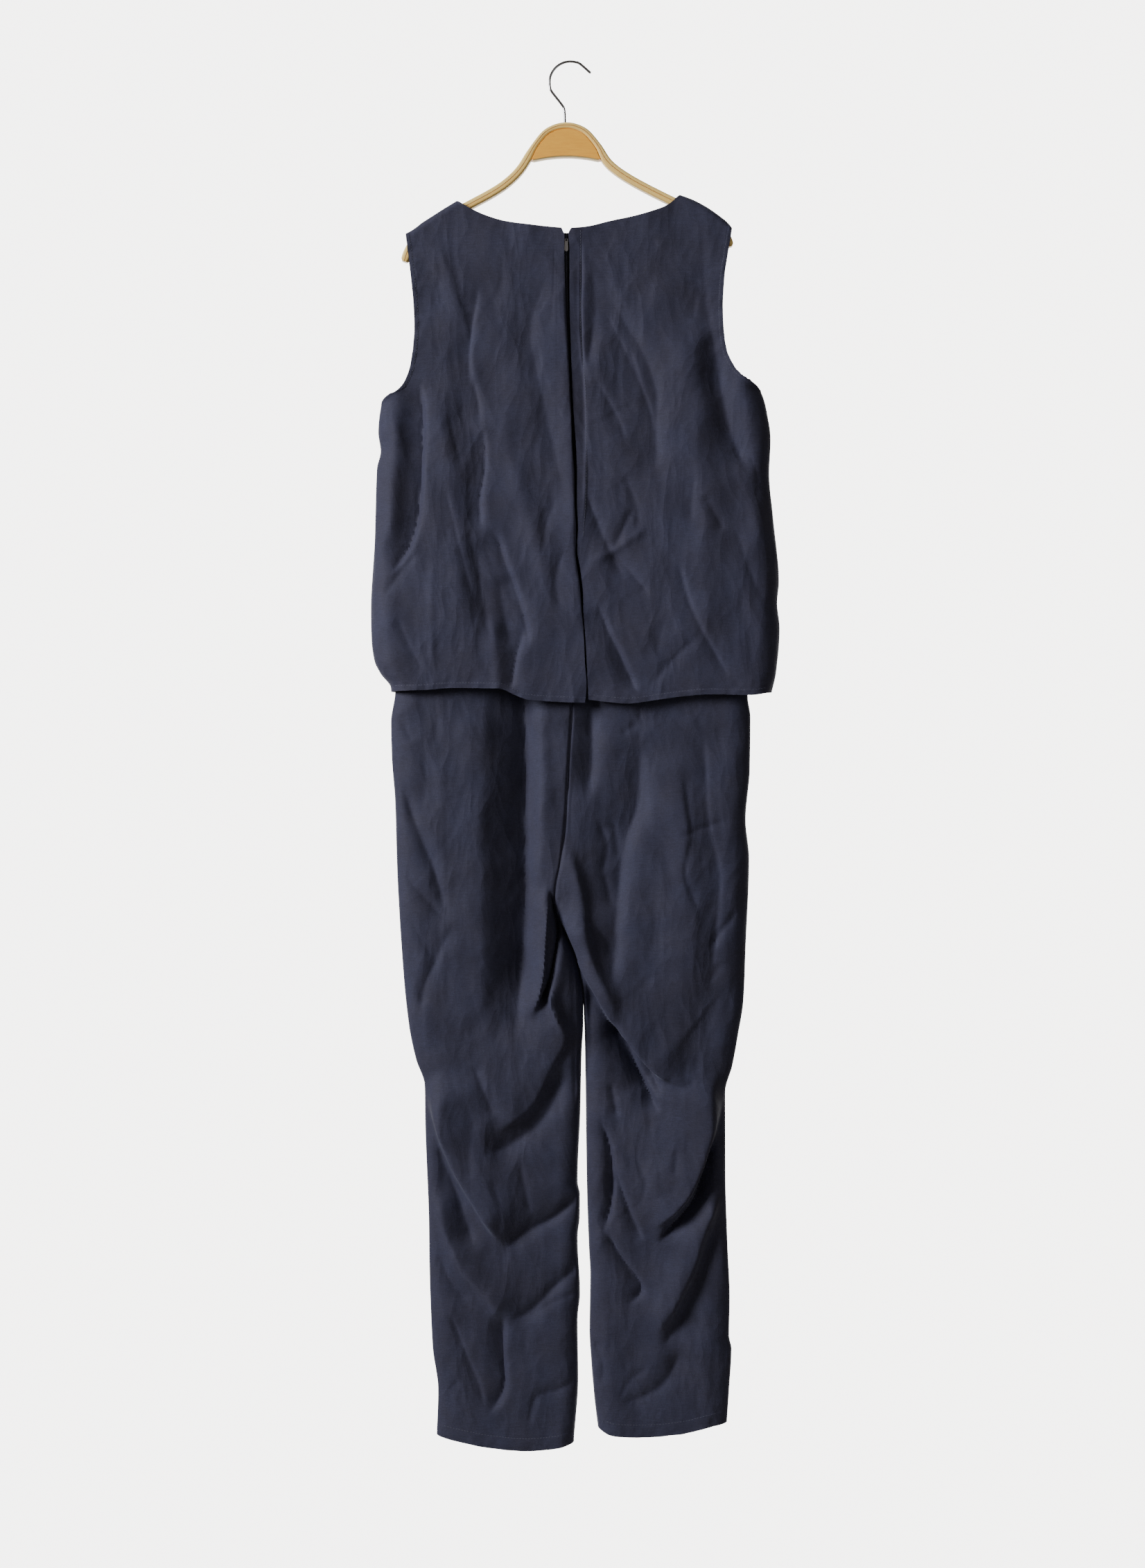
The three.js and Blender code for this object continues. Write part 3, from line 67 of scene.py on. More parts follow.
# Outlines in the plane Y = 0: rows of x, z along a top or bottom edge
SHOULDER_LEFT = [
    (-197.1, -205.4), (-188.4, -200.4), (-176.8, -191.6), (-166, -184.7), (-153.5, -176.6),
    (-143.6, -170.6), NECK_POINT_LEFT,
]
NECK_LEFT = [
    NECK_POINT_LEFT, (-124.5, -174.7), (-100.4, -186.3), (-77.2, -193), (-44.8, -198), (-10.8, -201.3), (-2, -202),
]
NECK_RIGHT = [
    (-2, -202), (15.8, -200.4), (44, -194.2), (76.4, -187.2), (98.8, -180.5), (116.2, -173.2), NECK_POINT_RIGHT,
]
SHOULDER_RIGHT = [
    NECK_POINT_RIGHT, (146.1, -164.4), (163.5, -173.6), (179.3, -184.7), (189.2, -193), (193.4, -198.8),
]
TOP_HEM = [
    (-214.8, -754.1), (-175.1, -753.2), (-140.3, -750.7), (-84.7, -751.6), (-63.9, -759.9), (-49, -764.8),
    (17.4, -768.2), (21.6, -764.8), (35.7, -766.5), (67, -769.2), (102.1, -764.8), (141.1, -759.9),
    (166.8, -758.2), (213.3, -759), (241.1, -754.9),
]
LEG_HEM_LEFT = [
    (-160.2, -1643), (-127.8, -1649.6), (-89.6, -1656.3), (-51.5, -1659.3), (-23.2, -1657.1), (4.1, -1652.1),
]
LEG_HEM_RIGHT = [
    (33.2, -1634.7), (50.6, -1641.3), (83, -1643.4), (131.1, -1639.2), (169.3, -1630.5), (187.6, -1628),
]

# Outlines of upright edges: rows of z, x
TOP_EDGE_LEFT = [
    (-205.4, -197.1), (-239, -192.6), (-294.2, -186.8), (-322.5, -185.6), (-346.5, -187.2), (-368.9, -190.9),
    (-386.4, -197.5), (-396.3, -205.8), (-404.6, -222.4), (-410.4, -226.6), (-443.6, -230.2), (-466, -227.4),
    (-487.6, -231.9), (-571.5, -234.4), (-657.8, -239), (-692.6, -238.2), (-716.7, -234.9), (-732.5, -227.4),
    (-749.1, -215.2), (-754.1, -214.8),
]
TOP_EDGE_RIGHT = [
    (-198.8, 193.4), (-232.8, 187.6), (-261.9, 183.4), (-299, 181.6), (-322, 182.4), (-346.5, 185.9),
    (-367.3, 195), (-381.4, 207.5), (-389.7, 221.6), (-394.7, 228.2), (-420.4, 235.7), (-451.9, 239.9),
    (-492.6, 238.2), (-544.9, 242.8), (-622.1, 249.8), (-647.8, 247.8), (-678.5, 250.7), (-730.8, 246.5),
    (-754.9, 241.1),
]
OPENING_LEFT = [
    (-201.3, -10.8), (-206, -8.6), (-210, -7.2), (-224, -7.4), (-245, -7.2), (-261, -6.8), (-300.9, -5.2),
    (-348.2, -3), (-384, -1.2), (-410, 0), (-435, 1), (-463.6, 1.9), (-480, 3.4), (-498, 4.7), (-529, 4.9),
    (-545, 5.8), (-561, 6.6), (-575, 6.5), (-589, 6), (-598, 6.6), (-608, 8), (-624, 10.4), (-640, 12),
    (-664, 13.6), (-690, 15.6), (-719.2, 17), (-746.6, 19), (-768.2, 17.4),
]
OPENING_RIGHT = [
    (-200.6, 1.8), (-205, -1), (-209, -2.6), (-224, -1.2), (-261, -1.2), (-300.9, -0.8), (-348.2, 0.6),
    (-384.7, 2), (-410, 3), (-440, 5), (-467, 6.8), (-498, 7.9), (-529, 7.9), (-561, 9.1), (-577, 8.2),
    (-589, 8.2), (-600, 10), (-608, 11.5), (-625, 13.6), (-640, 15), (-664, 15.7), (-690, 17.4), (-712.6, 18.9),
    (-764.8, 21.6),
]
LEG_OUTSIDE_LEFT = [
    (-580, -205), (-755, -210), (-790.6, -215), (-830.4, -214.1), (-886, -210), (-969, -207.5), (-1091.9, -200),
    (-1154.1, -193.4), (-1194, -185.1), (-1225.5, -174.7), (-1276.1, -173.8), (-1386.5, -169.7),
    (-1442.1, -168.9), (-1537.6, -165.2), (-1590.7, -158.5), (-1643, -160.2),
]
LEG_OUTSIDE_RIGHT = [
    (-580, 210), (-759.9, 212.5), (-784.8, 215.8), (-846.2, 215), (-907.6, 210), (-953.3, 214.1),
    (-1061.2, 210), (-1122.6, 207.5), (-1164.9, 200.9), (-1201.4, 194.2), (-1233.8, 185.6), (-1335.1, 185.9),
    (-1418.1, 188.4), (-1480.3, 190.9), (-1526, 190.1), (-1540.9, 193), (-1590.7, 190.1), (-1628, 187.6),
]
CENTRE_BACK = [
    (-200, -5), (-240, -4.8), (-300, -3.2), (-420, 0), (-580, 2.5), (-767.3, 1.7), (-843.7, -2.5),
    (-915.9, -6.6), (-957.4, -11.6), (-989.8, -17.5), (-1008, -18.3), (-1023, -14.1), (-1040.4, -6.6),
    (-1070.3, 5.8), (-1094.4, 11.6), (-1116.8, 15.2),
]
LEG_INSIDE_LEFT = [
    (-1153.3, 15.1), (-1183.2, 13.3), (-1257, 11.6), (-1340.9, 8.3), (-1355.8, 11), (-1383.2, 10.8),
    (-1407.3, 8.3), (-1474.5, 11.2), (-1506.9, 8.3), (-1575.8, 9.1), (-1648, 4.1),
]
LEG_INSIDE_RIGHT = [
    (-1192.3, 17.9), (-1340.9, 19.9), (-1418.1, 22.4), (-1451.3, 24.1), (-1518.5, 23.2), (-1550.9, 24.9),
    (-1599.8, 29), (-1634.7, 33.2),
]

# How far a layer stands off the middle plane: rows of z, depth
TOP_DEPTH = {
    "back": [(-160, 11.6), (-260, 12.4), (-400, 20), (-560, 24), (-770, 28)],
    "front": [(-160, 11.6), (-260, 12), (-400, 17), (-560, 20), (-770, 23)],
}
BODICE_DEPTH = [(-160, 9.6), (-580, 9.8)]
TROUSER_DEPTH = {
    "back": [(-580, 9.8), (-700, 13), (-790, 17), (-900, 20.5), (-1030, 21), (-1120, 18), (-1250, 16), (-1660, 15)],
    "front": [(-580, 9.8), (-700, 12), (-790, 14), (-900, 17), (-1030, 17), (-1120, 15), (-1250, 14), (-1660, 13)],
}

# Creases. Columns: lift outwards, width on the left and right of the walk along the path,
# roll of the crest towards the left, and the path as x, z places. Walking down, left is +X.
TOP_BACK_CREASES = [
    (-11, 5, 27, 0, [(-179, -382), (-177, -440), (-179, -500), (-184, -555), (-198, -592), (-216, -618)]),
    (3.5, 14, 9, 0, [(-209, -404), (-209, -470), (-213, -540), (-222, -590)]),
    (4, 18, 30, 0, [(-150, -380), (-140, -560), (-120, -745)]),
    (2, 6, 12, 0, [(-160, -215), (-143, -267), (-129, -312), (-122, -352)]),
    (-3.6, 8, 16, 0, [(-108, -262), (-119, -315), (-123, -368), (-114, -402), (-106, -450)]),
    (-4.4, 7, 17, 0, [(-104, -440), (-104, -490), (-110, -530), (-106, -566)]),
    (-4.6, 8, 18, 0, [(-94, -556), (-78, -606), (-60, -656), (-48, -708)]),
    (-3.5, 8, 10, 0, [(-117, -572), (-105, -634), (-100, -669), (-91, -706)]),
    (-3.5, 12, 12, 0, [(-86, -616), (-80, -662), (-71, -704)]),
    (-4, 6, 10, 0, [(-57, -680), (-66, -715), (-72, -756)]),
    (4, 12, 12, 0, [(-96, -660), (-88, -710), (-84, -770)]),
    (-3.2, 11, 17, 0, [(-22, -246), (-43, -298), (-48, -333), (-41, -368), (-30, -420), (-17, -481), (-4, -532)]),
    (3, 13, 13, 0, [(-66, -396), (-76, -455), (-58, -516), (-37, -595), (-22, -656)]),
    (-2, 5, 6, 0, [(-5, -582), (-17, -620), (-11, -664)]),
    (-1.6, 4, 5, 0, [(-14, -520), (-30, -560), (-34, -600)]),
    (-3, 8, 8, 0, [(-180, -586), (-200, -612), (-224, -644)]),
    (1.6, 5, 5, 0, [(-163, -598), (-165, -660), (-163, -738)]),
    (-2.2, 6, 9, 0, [(-151, -508), (-136, -570), (-124, -616), (-113, -648)]),
    (-1.6, 5, 5, 0, [(-214, -444), (-222, -462), (-228, -472)]),
    (-1.8, 5, 7, 0, [(-206, -664), (-192, -700), (-172, -735)]),
    (-1.8, 6, 6, 0, [(-146, -420), (-136, -462), (-128, -490)]),
    (-3.2, 3, 11, 0, [(13, -200), (12.5, -260), (12, -311), (15, -385), (17, -429), (18, -500)]),
    (2.4, 3, 13, 0, [(-10, -208), (-8, -300), (-2, -400), (1, -470), (3, -530), (4, -592), (10, -640), (14, -710)]),
    (-4.5, 9, 8, 0, [(25, -250), (30, -290), (27, -325), (20, -372)]),
    (-4.5, 9, 24, 0, [(33, -258), (59, -306), (81, -341), (95, -372), (103, -403), (101, -455), (103, -516)]),
    (-2.4, 5, 9, 0, [(67, -338), (81, -385), (94, -420), (99, -450)]),
    (-2.2, 5, 8, 0, [(40, -300), (62, -344), (75, -376)]),
    (-2.2, 6, 9, 0, [(28, -382), (55, -429), (65, -460)]),
    (-2, 6, 6, 0, [(63, -494), (80, -540), (76, -566)]),
    (-3.2, 6, 8, 0, [(18, -518), (33, -556), (46, -586), (65, -626)]),
    (-2.4, 5, 5, 0, [(75, -536), (50, -588)]),
    (-2.6, 5, 7, 0, [(44, -584), (70, -612), (97, -644)]),
    (2, 5, 5, 0, [(20, -602), (48, -590), (94, -558)]),
    (-4.8, 6, 17, 0, [(31, -650), (43, -682), (55, -706), (80, -760)]),
    (-2.8, 5, 8, 0, [(127, -596), (138, -643), (150, -672), (165, -700), (189, -740)]),
    (-1.8, 5, 6, 0, [(147, -497), (142, -556)]),
    (-2, 5, 6, 0, [(158, -520), (170, -542), (184, -566)]),
    (-2.2, 7, 7, 0, [(95, -750), (122, -716), (153, -688)]),
    (4, 22, 32, 0, [(140, -290), (156, -500), (164, -745)]),
    (-3.5, 10, 13, 0, [(157, -196), (161, -276), (168, -336)]),
    (-7.5, 12, 16, 0, [(166, -312), (181, -402), (191, -448), (214, -500)]),
    (-1.6, 4, 5, 0, [(150, -280), (146, -314)]),
    (-1.6, 4, 5, 0, [(212, -470), (222, -500), (221, -534)]),
    (-2, 7, 7, 0, [(196, -560), (216, -620), (232, -650)]),
]
TOP_FRONT_CREASES = [
    (-5, 14, 18, 0, [(-152, -320), (-144, -520), (-130, -745)]),
    (4, 20, 20, 0, [(-66, -300), (-70, -520), (-84, -748)]),
    (-5, 13, 20, 0, [(24, -330), (18, -540), (6, -748)]),
    (4, 18, 18, 0, [(92, -290), (104, -520), (113, -748)]),
    (-5, 12, 16, 0, [(170, -350), (182, -520), (192, -706)]),
    (-2.6, 6, 9, 0, [(-96, -262), (-84, -330), (-58, -380)]),
    (-2.4, 6, 8, 0, [(96, -250), (80, -316), (52, -372)]),
    (-2.4, 6, 7, 0, [(-204, -470), (-184, -520), (-176, -600)]),
    (-2.2, 5, 8, 0, [(140, -560), (126, -620), (132, -690)]),
    (-2.4, 6, 8, 0, [(-40, -560), (-28, -640), (-46, -720)]),
]
TROUSER_LEFT_CREASES = [
    (-16, 13, 31, 0, [(-57, -640), (-54, -800), (-54, -900), (-54, -1000), (-58, -1080), (-68, -1180)]),
    (5, 17, 30, 0, [(-104, -735), (-106, -960), (-104, -1180)]),
    (4, 12, 14, 0, [(-36, -740), (-34, -880), (-42, -1000)]),
    (-4.5, 8, 9, 0, [(-204, -856), (-180, -922), (-161, -969), (-144, -1034)]),
    (-3.5, 6, 8, 0, [(-141, -1032), (-161, -1077), (-173, -1102), (-180, -1140)]),
    (-3, 7, 7, 0, [(-206, -962), (-173, -1000), (-143, -1033)]),
    (-2, 6, 6, 0, [(-202, -1018), (-179, -1046), (-163, -1076)]),
    (-2, 5, 6, 0, [(-207, -780), (-196, -800), (-187, -816)]),
    (-1.8, 6, 8, 0, [(-176, -800), (-172, -860), (-178, -900)]),
    (7, 5, 14, 4, [(-27, -986), (-32, -1025), (-35, -1070), (-38, -1102), (-50, -1148)]),
    (-12, 6, 4, 0, [(-26, -988), (-18, -1018), (-14, -1040), (-17, -1070), (-25, -1103), (-43, -1132)]),
    (7, 8, 4, -2, [(-8, -1030), (-15, -1078), (-19, -1102), (-21, -1129), (-9, -1166)]),
    (5, 7, 40, 3, [(-20, -1122), (-11, -1165), (-24, -1195), (-50, -1246), (-92, -1278)]),
    (-6.5, 12, 26, 0, [(-6, -1196), (-18, -1236), (-33, -1262), (-52, -1281), (-76, -1296), (-106, -1303)]),
    (-3.2, 6, 7, 0, [(-117, -1196), (-103, -1228), (-89, -1262)]),
    (-1.6, 7, 10, 0, [(-114, -1250), (-118, -1308), (-116, -1356)]),
    (10, 60, 6, -3, [(-180, -1210), (-172, -1232), (-159, -1265), (-136, -1321), (-116, -1354), (-76, -1418)]),
    (-6, 11, 22, 0, [(-162, -1282), (-140, -1340), (-122, -1393), (-112, -1424)]),
    (6, 22, 8, -2, [(-172, -1346), (-142, -1406), (-126, -1440), (-103, -1466), (-73, -1500)]),
    (-3, 7, 8, 0, [(-160, -1420), (-140, -1462), (-120, -1484)]),
    (-5.5, 7, 9, 0, [(12, -1354), (-17, -1380), (-50, -1397), (-80, -1420)]),
    (-5, 8, 10, 0, [(12, -1436), (-20, -1466), (-50, -1495), (-75, -1505)]),
    (-2, 5, 5, 0, [(11, -1470), (-20, -1482), (-58, -1507)]),
    (-6, 7, 16, 0, [(-80, -1494), (-83, -1532), (-81, -1585), (-101, -1618)]),
    (-2.8, 5, 7, 0, [(-147, -1488), (-126, -1542), (-110, -1581), (-102, -1614)]),
    (-2, 5, 5, 0, [(-162, -1598), (-130, -1575)]),
    (-2.8, 6, 6, 0, [(12, -1572), (-17, -1588), (-40, -1595), (-51, -1632)]),
    (-2, 5, 6, 0, [(-60, -1310), (-52, -1350), (-46, -1378)]),
    (-1.8, 5, 6, 0, [(-92, -1330), (-80, -1370), (-86, -1400)]),
]
TROUSER_RIGHT_CREASES = [
    (-6, 9, 14, 0, [(24, -724), (26, -830), (19, -888)]),
    (-7.5, 10, 36, 0, [(84, -796), (81, -885), (66, -929), (60, -972), (57, -1015), (54, -1065), (49, -1116)]),
    (5.5, 7, 14, 0, [(-6, -930), (12, -994), (21, -1046), (31, -1077), (52, -1126), (57, -1146)]),
    (-2.4, 4, 4, 0, [(32, -906), (43, -935), (37, -976)]),
    (-2.2, 4, 5, 0, [(51, -906), (58, -956)]),
    (-2.2, 4, 4, 0, [(39, -968), (50, -1012)]),
    (-2.2, 4, 5, 0, [(16, -1018), (43, -1046), (53, -1074)]),
    (-1.8, 4, 4, 0, [(82, -791), (60, -806)]),
    (5, 24, 36, 0, [(126, -850), (146, -1000), (136, -1160)]),
    (-2.4, 9, 5, 0, [(134, -838), (140, -892), (144, -929), (137, -972), (151, -1015), (155, -1038)]),
    (-2.6, 7, 13, 0, [(157, -782), (160, -855), (163, -910), (175, -966), (174, -1015), (165, -1110)]),
    (-1.8, 4, 4, 0, [(127, -930), (160, -916), (191, -908)]),
    (-2.4, 5, 5, 0, [(200, -1012), (172, -1049), (165, -1064)]),
    (-1.8, 5, 5, 0, [(178, -1076), (164, -1104)]),
    (7.5, 62, 4, -4, [(-24, -1006), (-10, -1035), (9, -1070), (22, -1092), (51, -1143), (74, -1172), (103, -1206), (140, -1226)]),
    (-10, 6, 14, 0, [(50, -1140), (64, -1176), (82, -1215), (106, -1258)]),
    (-9, 5, 24, 0, [(12, -1090), (44, -1147), (72, -1182), (98, -1212), (108, -1240)]),
    (-2.4, 5, 5, 0, [(110, -1213), (131, -1225), (150, -1217)]),
    (-2.8, 4, 5, 0, [(48, -1220), (56, -1262)]),
    (10, 5, 60, 3, [(194, -1212), (184, -1232), (174, -1258), (164, -1291), (151, -1327), (131, -1360), (94, -1398)]),
    (-10, 10, 6, 0, [(174, -1276), (156, -1340), (139, -1374), (102, -1414)]),
    (7, 9, 24, 3, [(190, -1340), (161, -1383), (145, -1433), (125, -1476), (98, -1522)]),
    (-5.5, 14, 9, 0, [(178, -1382), (152, -1450), (132, -1500), (104, -1546)]),
    (-6, 5, 9, 0, [(34, -1262), (45, -1294), (49, -1327), (47, -1367), (38, -1402)]),
    (-5, 5, 9, 0, [(51, -1322), (69, -1373), (87, -1411)]),
    (-5.5, 5, 9, 0, [(40, -1396), (62, -1433), (84, -1466), (67, -1486)]),
    (-1.8, 4, 4, 0, [(125, -1296), (121, -1330)]),
    (-2.8, 5, 6, 0, [(28, -1524), (39, -1558), (35, -1586)]),
    (-4, 9, 9, 0, [(58, -1603), (88, -1595), (115, -1575), (133, -1538)]),
    (-1.8, 4, 4, 0, [(57, -1600), (75, -1572), (95, -1560)]),
    (-2, 5, 6, 0, [(74, -1300), (88, -1340), (80, -1370)]),
]
TROUSER_FRONT_CREASES = [
    (-5, 16, 20, 0, [(-120, -720), (-114, -980), (-104, -1260)]),
    (4, 20, 20, 0, [(-60, -760), (-66, -980), (-74, -1200)]),
    (4, 22, 12, -2, [(-152, -1270), (-116, -1340), (-60, -1422)]),
    (-4, 9, 10, 0, [(-140, -1420), (-100, -1460), (-40, -1490)]),
    (-5, 16, 20, 0, [(66, -740), (72, -980), (80, -1220)]),
    (4, 22, 22, 0, [(140, -800), (136, -1040), (128, -1300)]),
    (4, 12, 22, 2, [(162, -1320), (130, -1400), (84, -1482)]),
    (-4, 9, 10, 0, [(150, -1470), (110, -1520), (60, -1540)]),
    (-3, 6, 8, 0, [(-6, -980), (-40, -1030), (-66, -1060)]),
    (-3, 6, 8, 0, [(6, -984), (38, -1034), (70, -1062)]),
    (-2.6, 6, 7, 0, [(-150, -1560), (-100, -1590), (-70, -1620)]),
]

# Seams and the stitched placket, as narrow creases
TOP_SEAMS = [(1.3, 1.7, 1.9, 0, [(11, -203), (10, -311), (13, -359), (16, -385), (17.4, -429), (17.4, -516), (14, -572)])]
LEFT_SEAMS = [(-1.5, 1.6, 1.6, 0, [(-3, -1046), (2.5, -1086), (3.3, -1132), (4.6, -1180), (5.2, -1260)])]
RIGHT_SEAMS = [
    (-1.5, 1.6, 1.6, 0, [(183.6, -1370), (184.2, -1440), (185, -1500), (184.4, -1600)]),
    (-2.2, 2, 2, 0, [(83, -744), (83, -792)]),
]


def eased(value):
    """Smooth step from 0 to 1."""
    v = np.clip(value, 0, 1)
    return v * v * (3 - 2 * v)


def mix(a, b, share):
    return a + (b - a) * share


def rounded(distance, reach):
    """Quarter-circle rise from 0 at an edge to 1 at its reach."""
    return np.sqrt(1 - (1 - np.clip(distance / reach, 0, 1)) ** 2)


def curve_through(rows):
    """Smooth curve through rows of place and value that never overshoots them."""
    u, v = np.array(sorted(rows), float).T
    slopes = np.diff(v) / np.diff(u)
    before = np.concatenate((slopes[:1], slopes))
    after = np.concatenate((slopes, slopes[-1:]))
    rising = before * after > 0
    tangents = np.where(rising, 2 * before * after / np.where(rising, before + after, 1), 0)

    def at(place):
        place = np.clip(place, u[0], u[-1])
        i = np.clip(np.searchsorted(u, place) - 1, 0, len(u) - 2)
        span = u[i + 1] - u[i]
        t = (place - u[i]) / span
        rise = (1 + 2 * t) * (1 - t) ** 2 * v[i] + t * t * (3 - 2 * t) * v[i + 1]
        lean = t * (1 - t) ** 2 * tangents[i] - t * t * (1 - t) * tangents[i + 1]
        return rise + lean * span

    return at


def smooth_path(places, step):
    """Places along a rounded path through the given ones, about a step apart."""
    p = np.array(places, float)
    p = np.vstack((2 * p[0] - p[1], p, 2 * p[-1] - p[-2]))
    path = []
    for a, b, c, d in zip(p, p[1:], p[2:], p[3:]):
        count = max(1, round(np.linalg.norm(c - b) / step))
        t = np.arange(count)[:, None] / count
        path.append(0.5 * (2 * b + (c - a) * t + (2 * a - 5 * b + 4 * c - d) * t ** 2
                           + (3 * b - a - 3 * c + d) * t ** 3))
    return np.vstack(path + [p[-2:-1]])


shoulder_left_z = curve_through(SHOULDER_LEFT)
shoulder_right_z = curve_through(SHOULDER_RIGHT)
neck_left_z = curve_through(NECK_LEFT)
neck_right_z = curve_through(NECK_RIGHT)
top_hem_z = curve_through(TOP_HEM)
leg_hem_z = {"left": curve_through(LEG_HEM_LEFT), "right": curve_through(LEG_HEM_RIGHT)}
top_left_x = curve_through(TOP_EDGE_LEFT)
top_right_x = curve_through(TOP_EDGE_RIGHT)
opening_left_x = curve_through(OPENING_LEFT)
opening_right_x = curve_through(OPENING_RIGHT)
outside_x = {"left": curve_through(LEG_OUTSIDE_LEFT), "right": curve_through(LEG_OUTSIDE_RIGHT)}
inside_x = {
    "left": curve_through(CENTRE_BACK + LEG_INSIDE_LEFT),
    "right": curve_through(CENTRE_BACK + LEG_INSIDE_RIGHT),
}
centre_x = curve_through(CENTRE_BACK)
top_depth = {face: curve_through(rows) for face, rows in TOP_DEPTH.items()}
trouser_depth = {face: curve_through(rows) for face, rows in TROUSER_DEPTH.items()}
bodice_depth = curve_through(BODICE_DEPTH)


def shoulder_and_neck_z(x, neck_drop):
    """Top boundary of the upper body: shoulder, neckline and shoulder again."""
    across = np.clip((x - NECK_POINT_LEFT[0]) / (NECK_POINT_RIGHT[0] - NECK_POINT_LEFT[0]), 0, 1)
    neck = np.where(x < -2, neck_left_z(x), neck_right_z(x)) - neck_drop * np.sin(np.pi * across) ** 0.8
    shoulder = np.where(x < 0, shoulder_left_z(x), shoulder_right_z(x))
    return np.where((x > NECK_POINT_LEFT[0]) & (x < NECK_POINT_RIGHT[0]), neck, shoulder)


def shoulder_distance(x, z):
    """Distance below the shoulder seams, which end at the neck points."""
    below_left = np.maximum(0, shoulder_left_z(x) - z) * SHOULDER_LEAN
    below_right = np.maximum(0, shoulder_right_z(x) - z) * SHOULDER_LEAN
    from_left = np.hypot(x - NECK_POINT_LEFT[0], (NECK_POINT_LEFT[1] - z) * SHOULDER_LEAN)
    from_right = np.hypot(x - NECK_POINT_RIGHT[0], (NECK_POINT_RIGHT[1] - z) * SHOULDER_LEAN)
    between = np.minimum(from_left, from_right)
    return np.where(x <= NECK_POINT_LEFT[0], below_left, np.where(x >= NECK_POINT_RIGHT[0], below_right, between))


def top_side_distance(x, z):
    """Distance to the side seams, which start at the underarm points."""
    left_point = np.hypot(x - UNDERARM_LEFT[0], z - UNDERARM_LEFT[1])
    right_point = np.hypot(x - UNDERARM_RIGHT[0], z - UNDERARM_RIGHT[1])
    to_left = np.where(z < UNDERARM_LEFT[1], x - top_left_x(z), left_point)
    to_right = np.where(z < UNDERARM_RIGHT[1], top_right_x(z) - x, right_point)
    return np.maximum(0, np.minimum(to_left, to_right))


def bodice_inset(x, z):
    """How far inside the top layer's sides the bodice runs."""
    left_waist = outside_x["left"](WAIST_Z) - top_left_x(WAIST_Z)
    right_waist = top_right_x(WAIST_Z) - outside_x["right"](WAIST_Z)
    underarm = np.where(x < 0, UNDERARM_LEFT[1], UNDERARM_RIGHT[1])
    at_waist = np.where(x < 0, left_waist, right_waist)
    return mix(BODICE_INSET, at_waist, eased((underarm - z) / (underarm - WAIST_Z)))


def parting(z):
    """0 where the two legs are one seat, 1 where they are two tubes."""
    return eased((CROTCH_START_Z - z) / (CROTCH_START_Z - CROTCH_END_Z))


def crease_effect(creases, x, z):
    """Lift and shifts in X and Z of all creases at the given places."""
    lift, shift_x, shift_z = np.zeros_like(x), np.zeros_like(x), np.zeros_like(x)
    for rise, left, right, roll, places in creases:
        path = smooth_path(places, 9)
        wide, narrow = max(left, right), min(left, right)
        if rise < 0 and narrow <= SHARP_WIDTH and narrow < 0.75 * wide:
            undercut = UNDERCUT * narrow * min(1, abs(rise) / 4)
            roll += undercut if left < right else -undercut
            left, right = (w * SHARP_SIDE if w == narrow else w for w in (left, right))
        reach = 2.6 * wide
        low, high = path.min(axis=0) - reach, path.max(axis=0) + reach
        near = (x > low[0]) & (x < high[0]) & (z > low[1]) & (z < high[1])
        if not near.any():
            continue
        px, pz = x[near], z[near]
        steps = np.diff(path, axis=0)
        lengths = np.hypot(*steps.T)
        starts = np.concatenate(([0], np.cumsum(lengths)))
        best = np.full(px.shape, np.inf)
        off, along = np.zeros_like(px), np.zeros_like(px)
        turn_x, turn_z = np.zeros_like(px), np.zeros_like(px)
        for (ax, az), (dx, dz), length, start in zip(path, steps, lengths, starts):
            t = np.clip(((px - ax) * dx + (pz - az) * dz) / length ** 2, 0, 1)
            gap_x, gap_z = px - ax - t * dx, pz - az - t * dz
            far = np.hypot(gap_x, gap_z)
            closer = far < best
            side = np.where(gap_z * dx - gap_x * dz >= 0, 1, -1)
            best = np.where(closer, far, best)
            off = np.where(closer, side * far, off)
            along = np.where(closer, start + t * length, along)
            turn_x = np.where(closer, -dz / length, turn_x)
            turn_z = np.where(closer, dx / length, turn_z)
        share = along / starts[-1]
        ends = eased(share / 0.2) * eased((1 - share) / 0.2)
        power = TROUGH_POWER if rise < 0 else RIDGE_POWER
        bump = ends * np.exp(-(np.abs(off / np.where(off > 0, left, right)) ** power))
        depth = mix(*CREASE_DEPTHS, min(1, abs(rise) / 7))
        lift[near] += rise * depth * bump
        shift_x[near] += roll * bump * turn_x
        shift_z[near] += roll * bump * turn_z
    return lift, shift_x, shift_z


def ripples(x, z, size, seed):
    """Even, seeded unevenness of about unit height with waves of about the given size."""
    random = np.random.default_rng(seed)
    total = np.zeros_like(x)
    for _ in range(14):
        angle = random.uniform(0, 2 * np.pi)
        wave = 2 * np.pi / (size * random.uniform(0.7, 1.6))
        phase = random.uniform(0, 2 * np.pi)
        total += np.sin(wave * (x * np.cos(angle) + z * np.sin(angle)) + phase)
    return total / 3.2


def scattered_creases(low, high, count, seed):
    """Short shallow creases spread at random between two corners, mostly upright."""
    random = np.random.default_rng(seed)
    creases = []
    for _ in range(count):
        middle = random.uniform(low, high)
        lean = random.normal(0, 0.5)
        half = random.uniform(20, 60)
        step = np.array([math.sin(lean), -math.cos(lean)]) * half
        bend = np.array([step[1], -step[0]]) * random.uniform(-0.12, 0.12)
        rise = random.choice([-1, 1]) * random.uniform(0.3, 0.75)
        wide, narrow = random.uniform(7, 16), random.uniform(1.6, 3.2)
        sides = (narrow, wide) if random.uniform() < 0.6 else (wide, narrow)
        creases.append((rise, *sides, 0, [middle - step, middle + bend, middle + step]))
    return creases


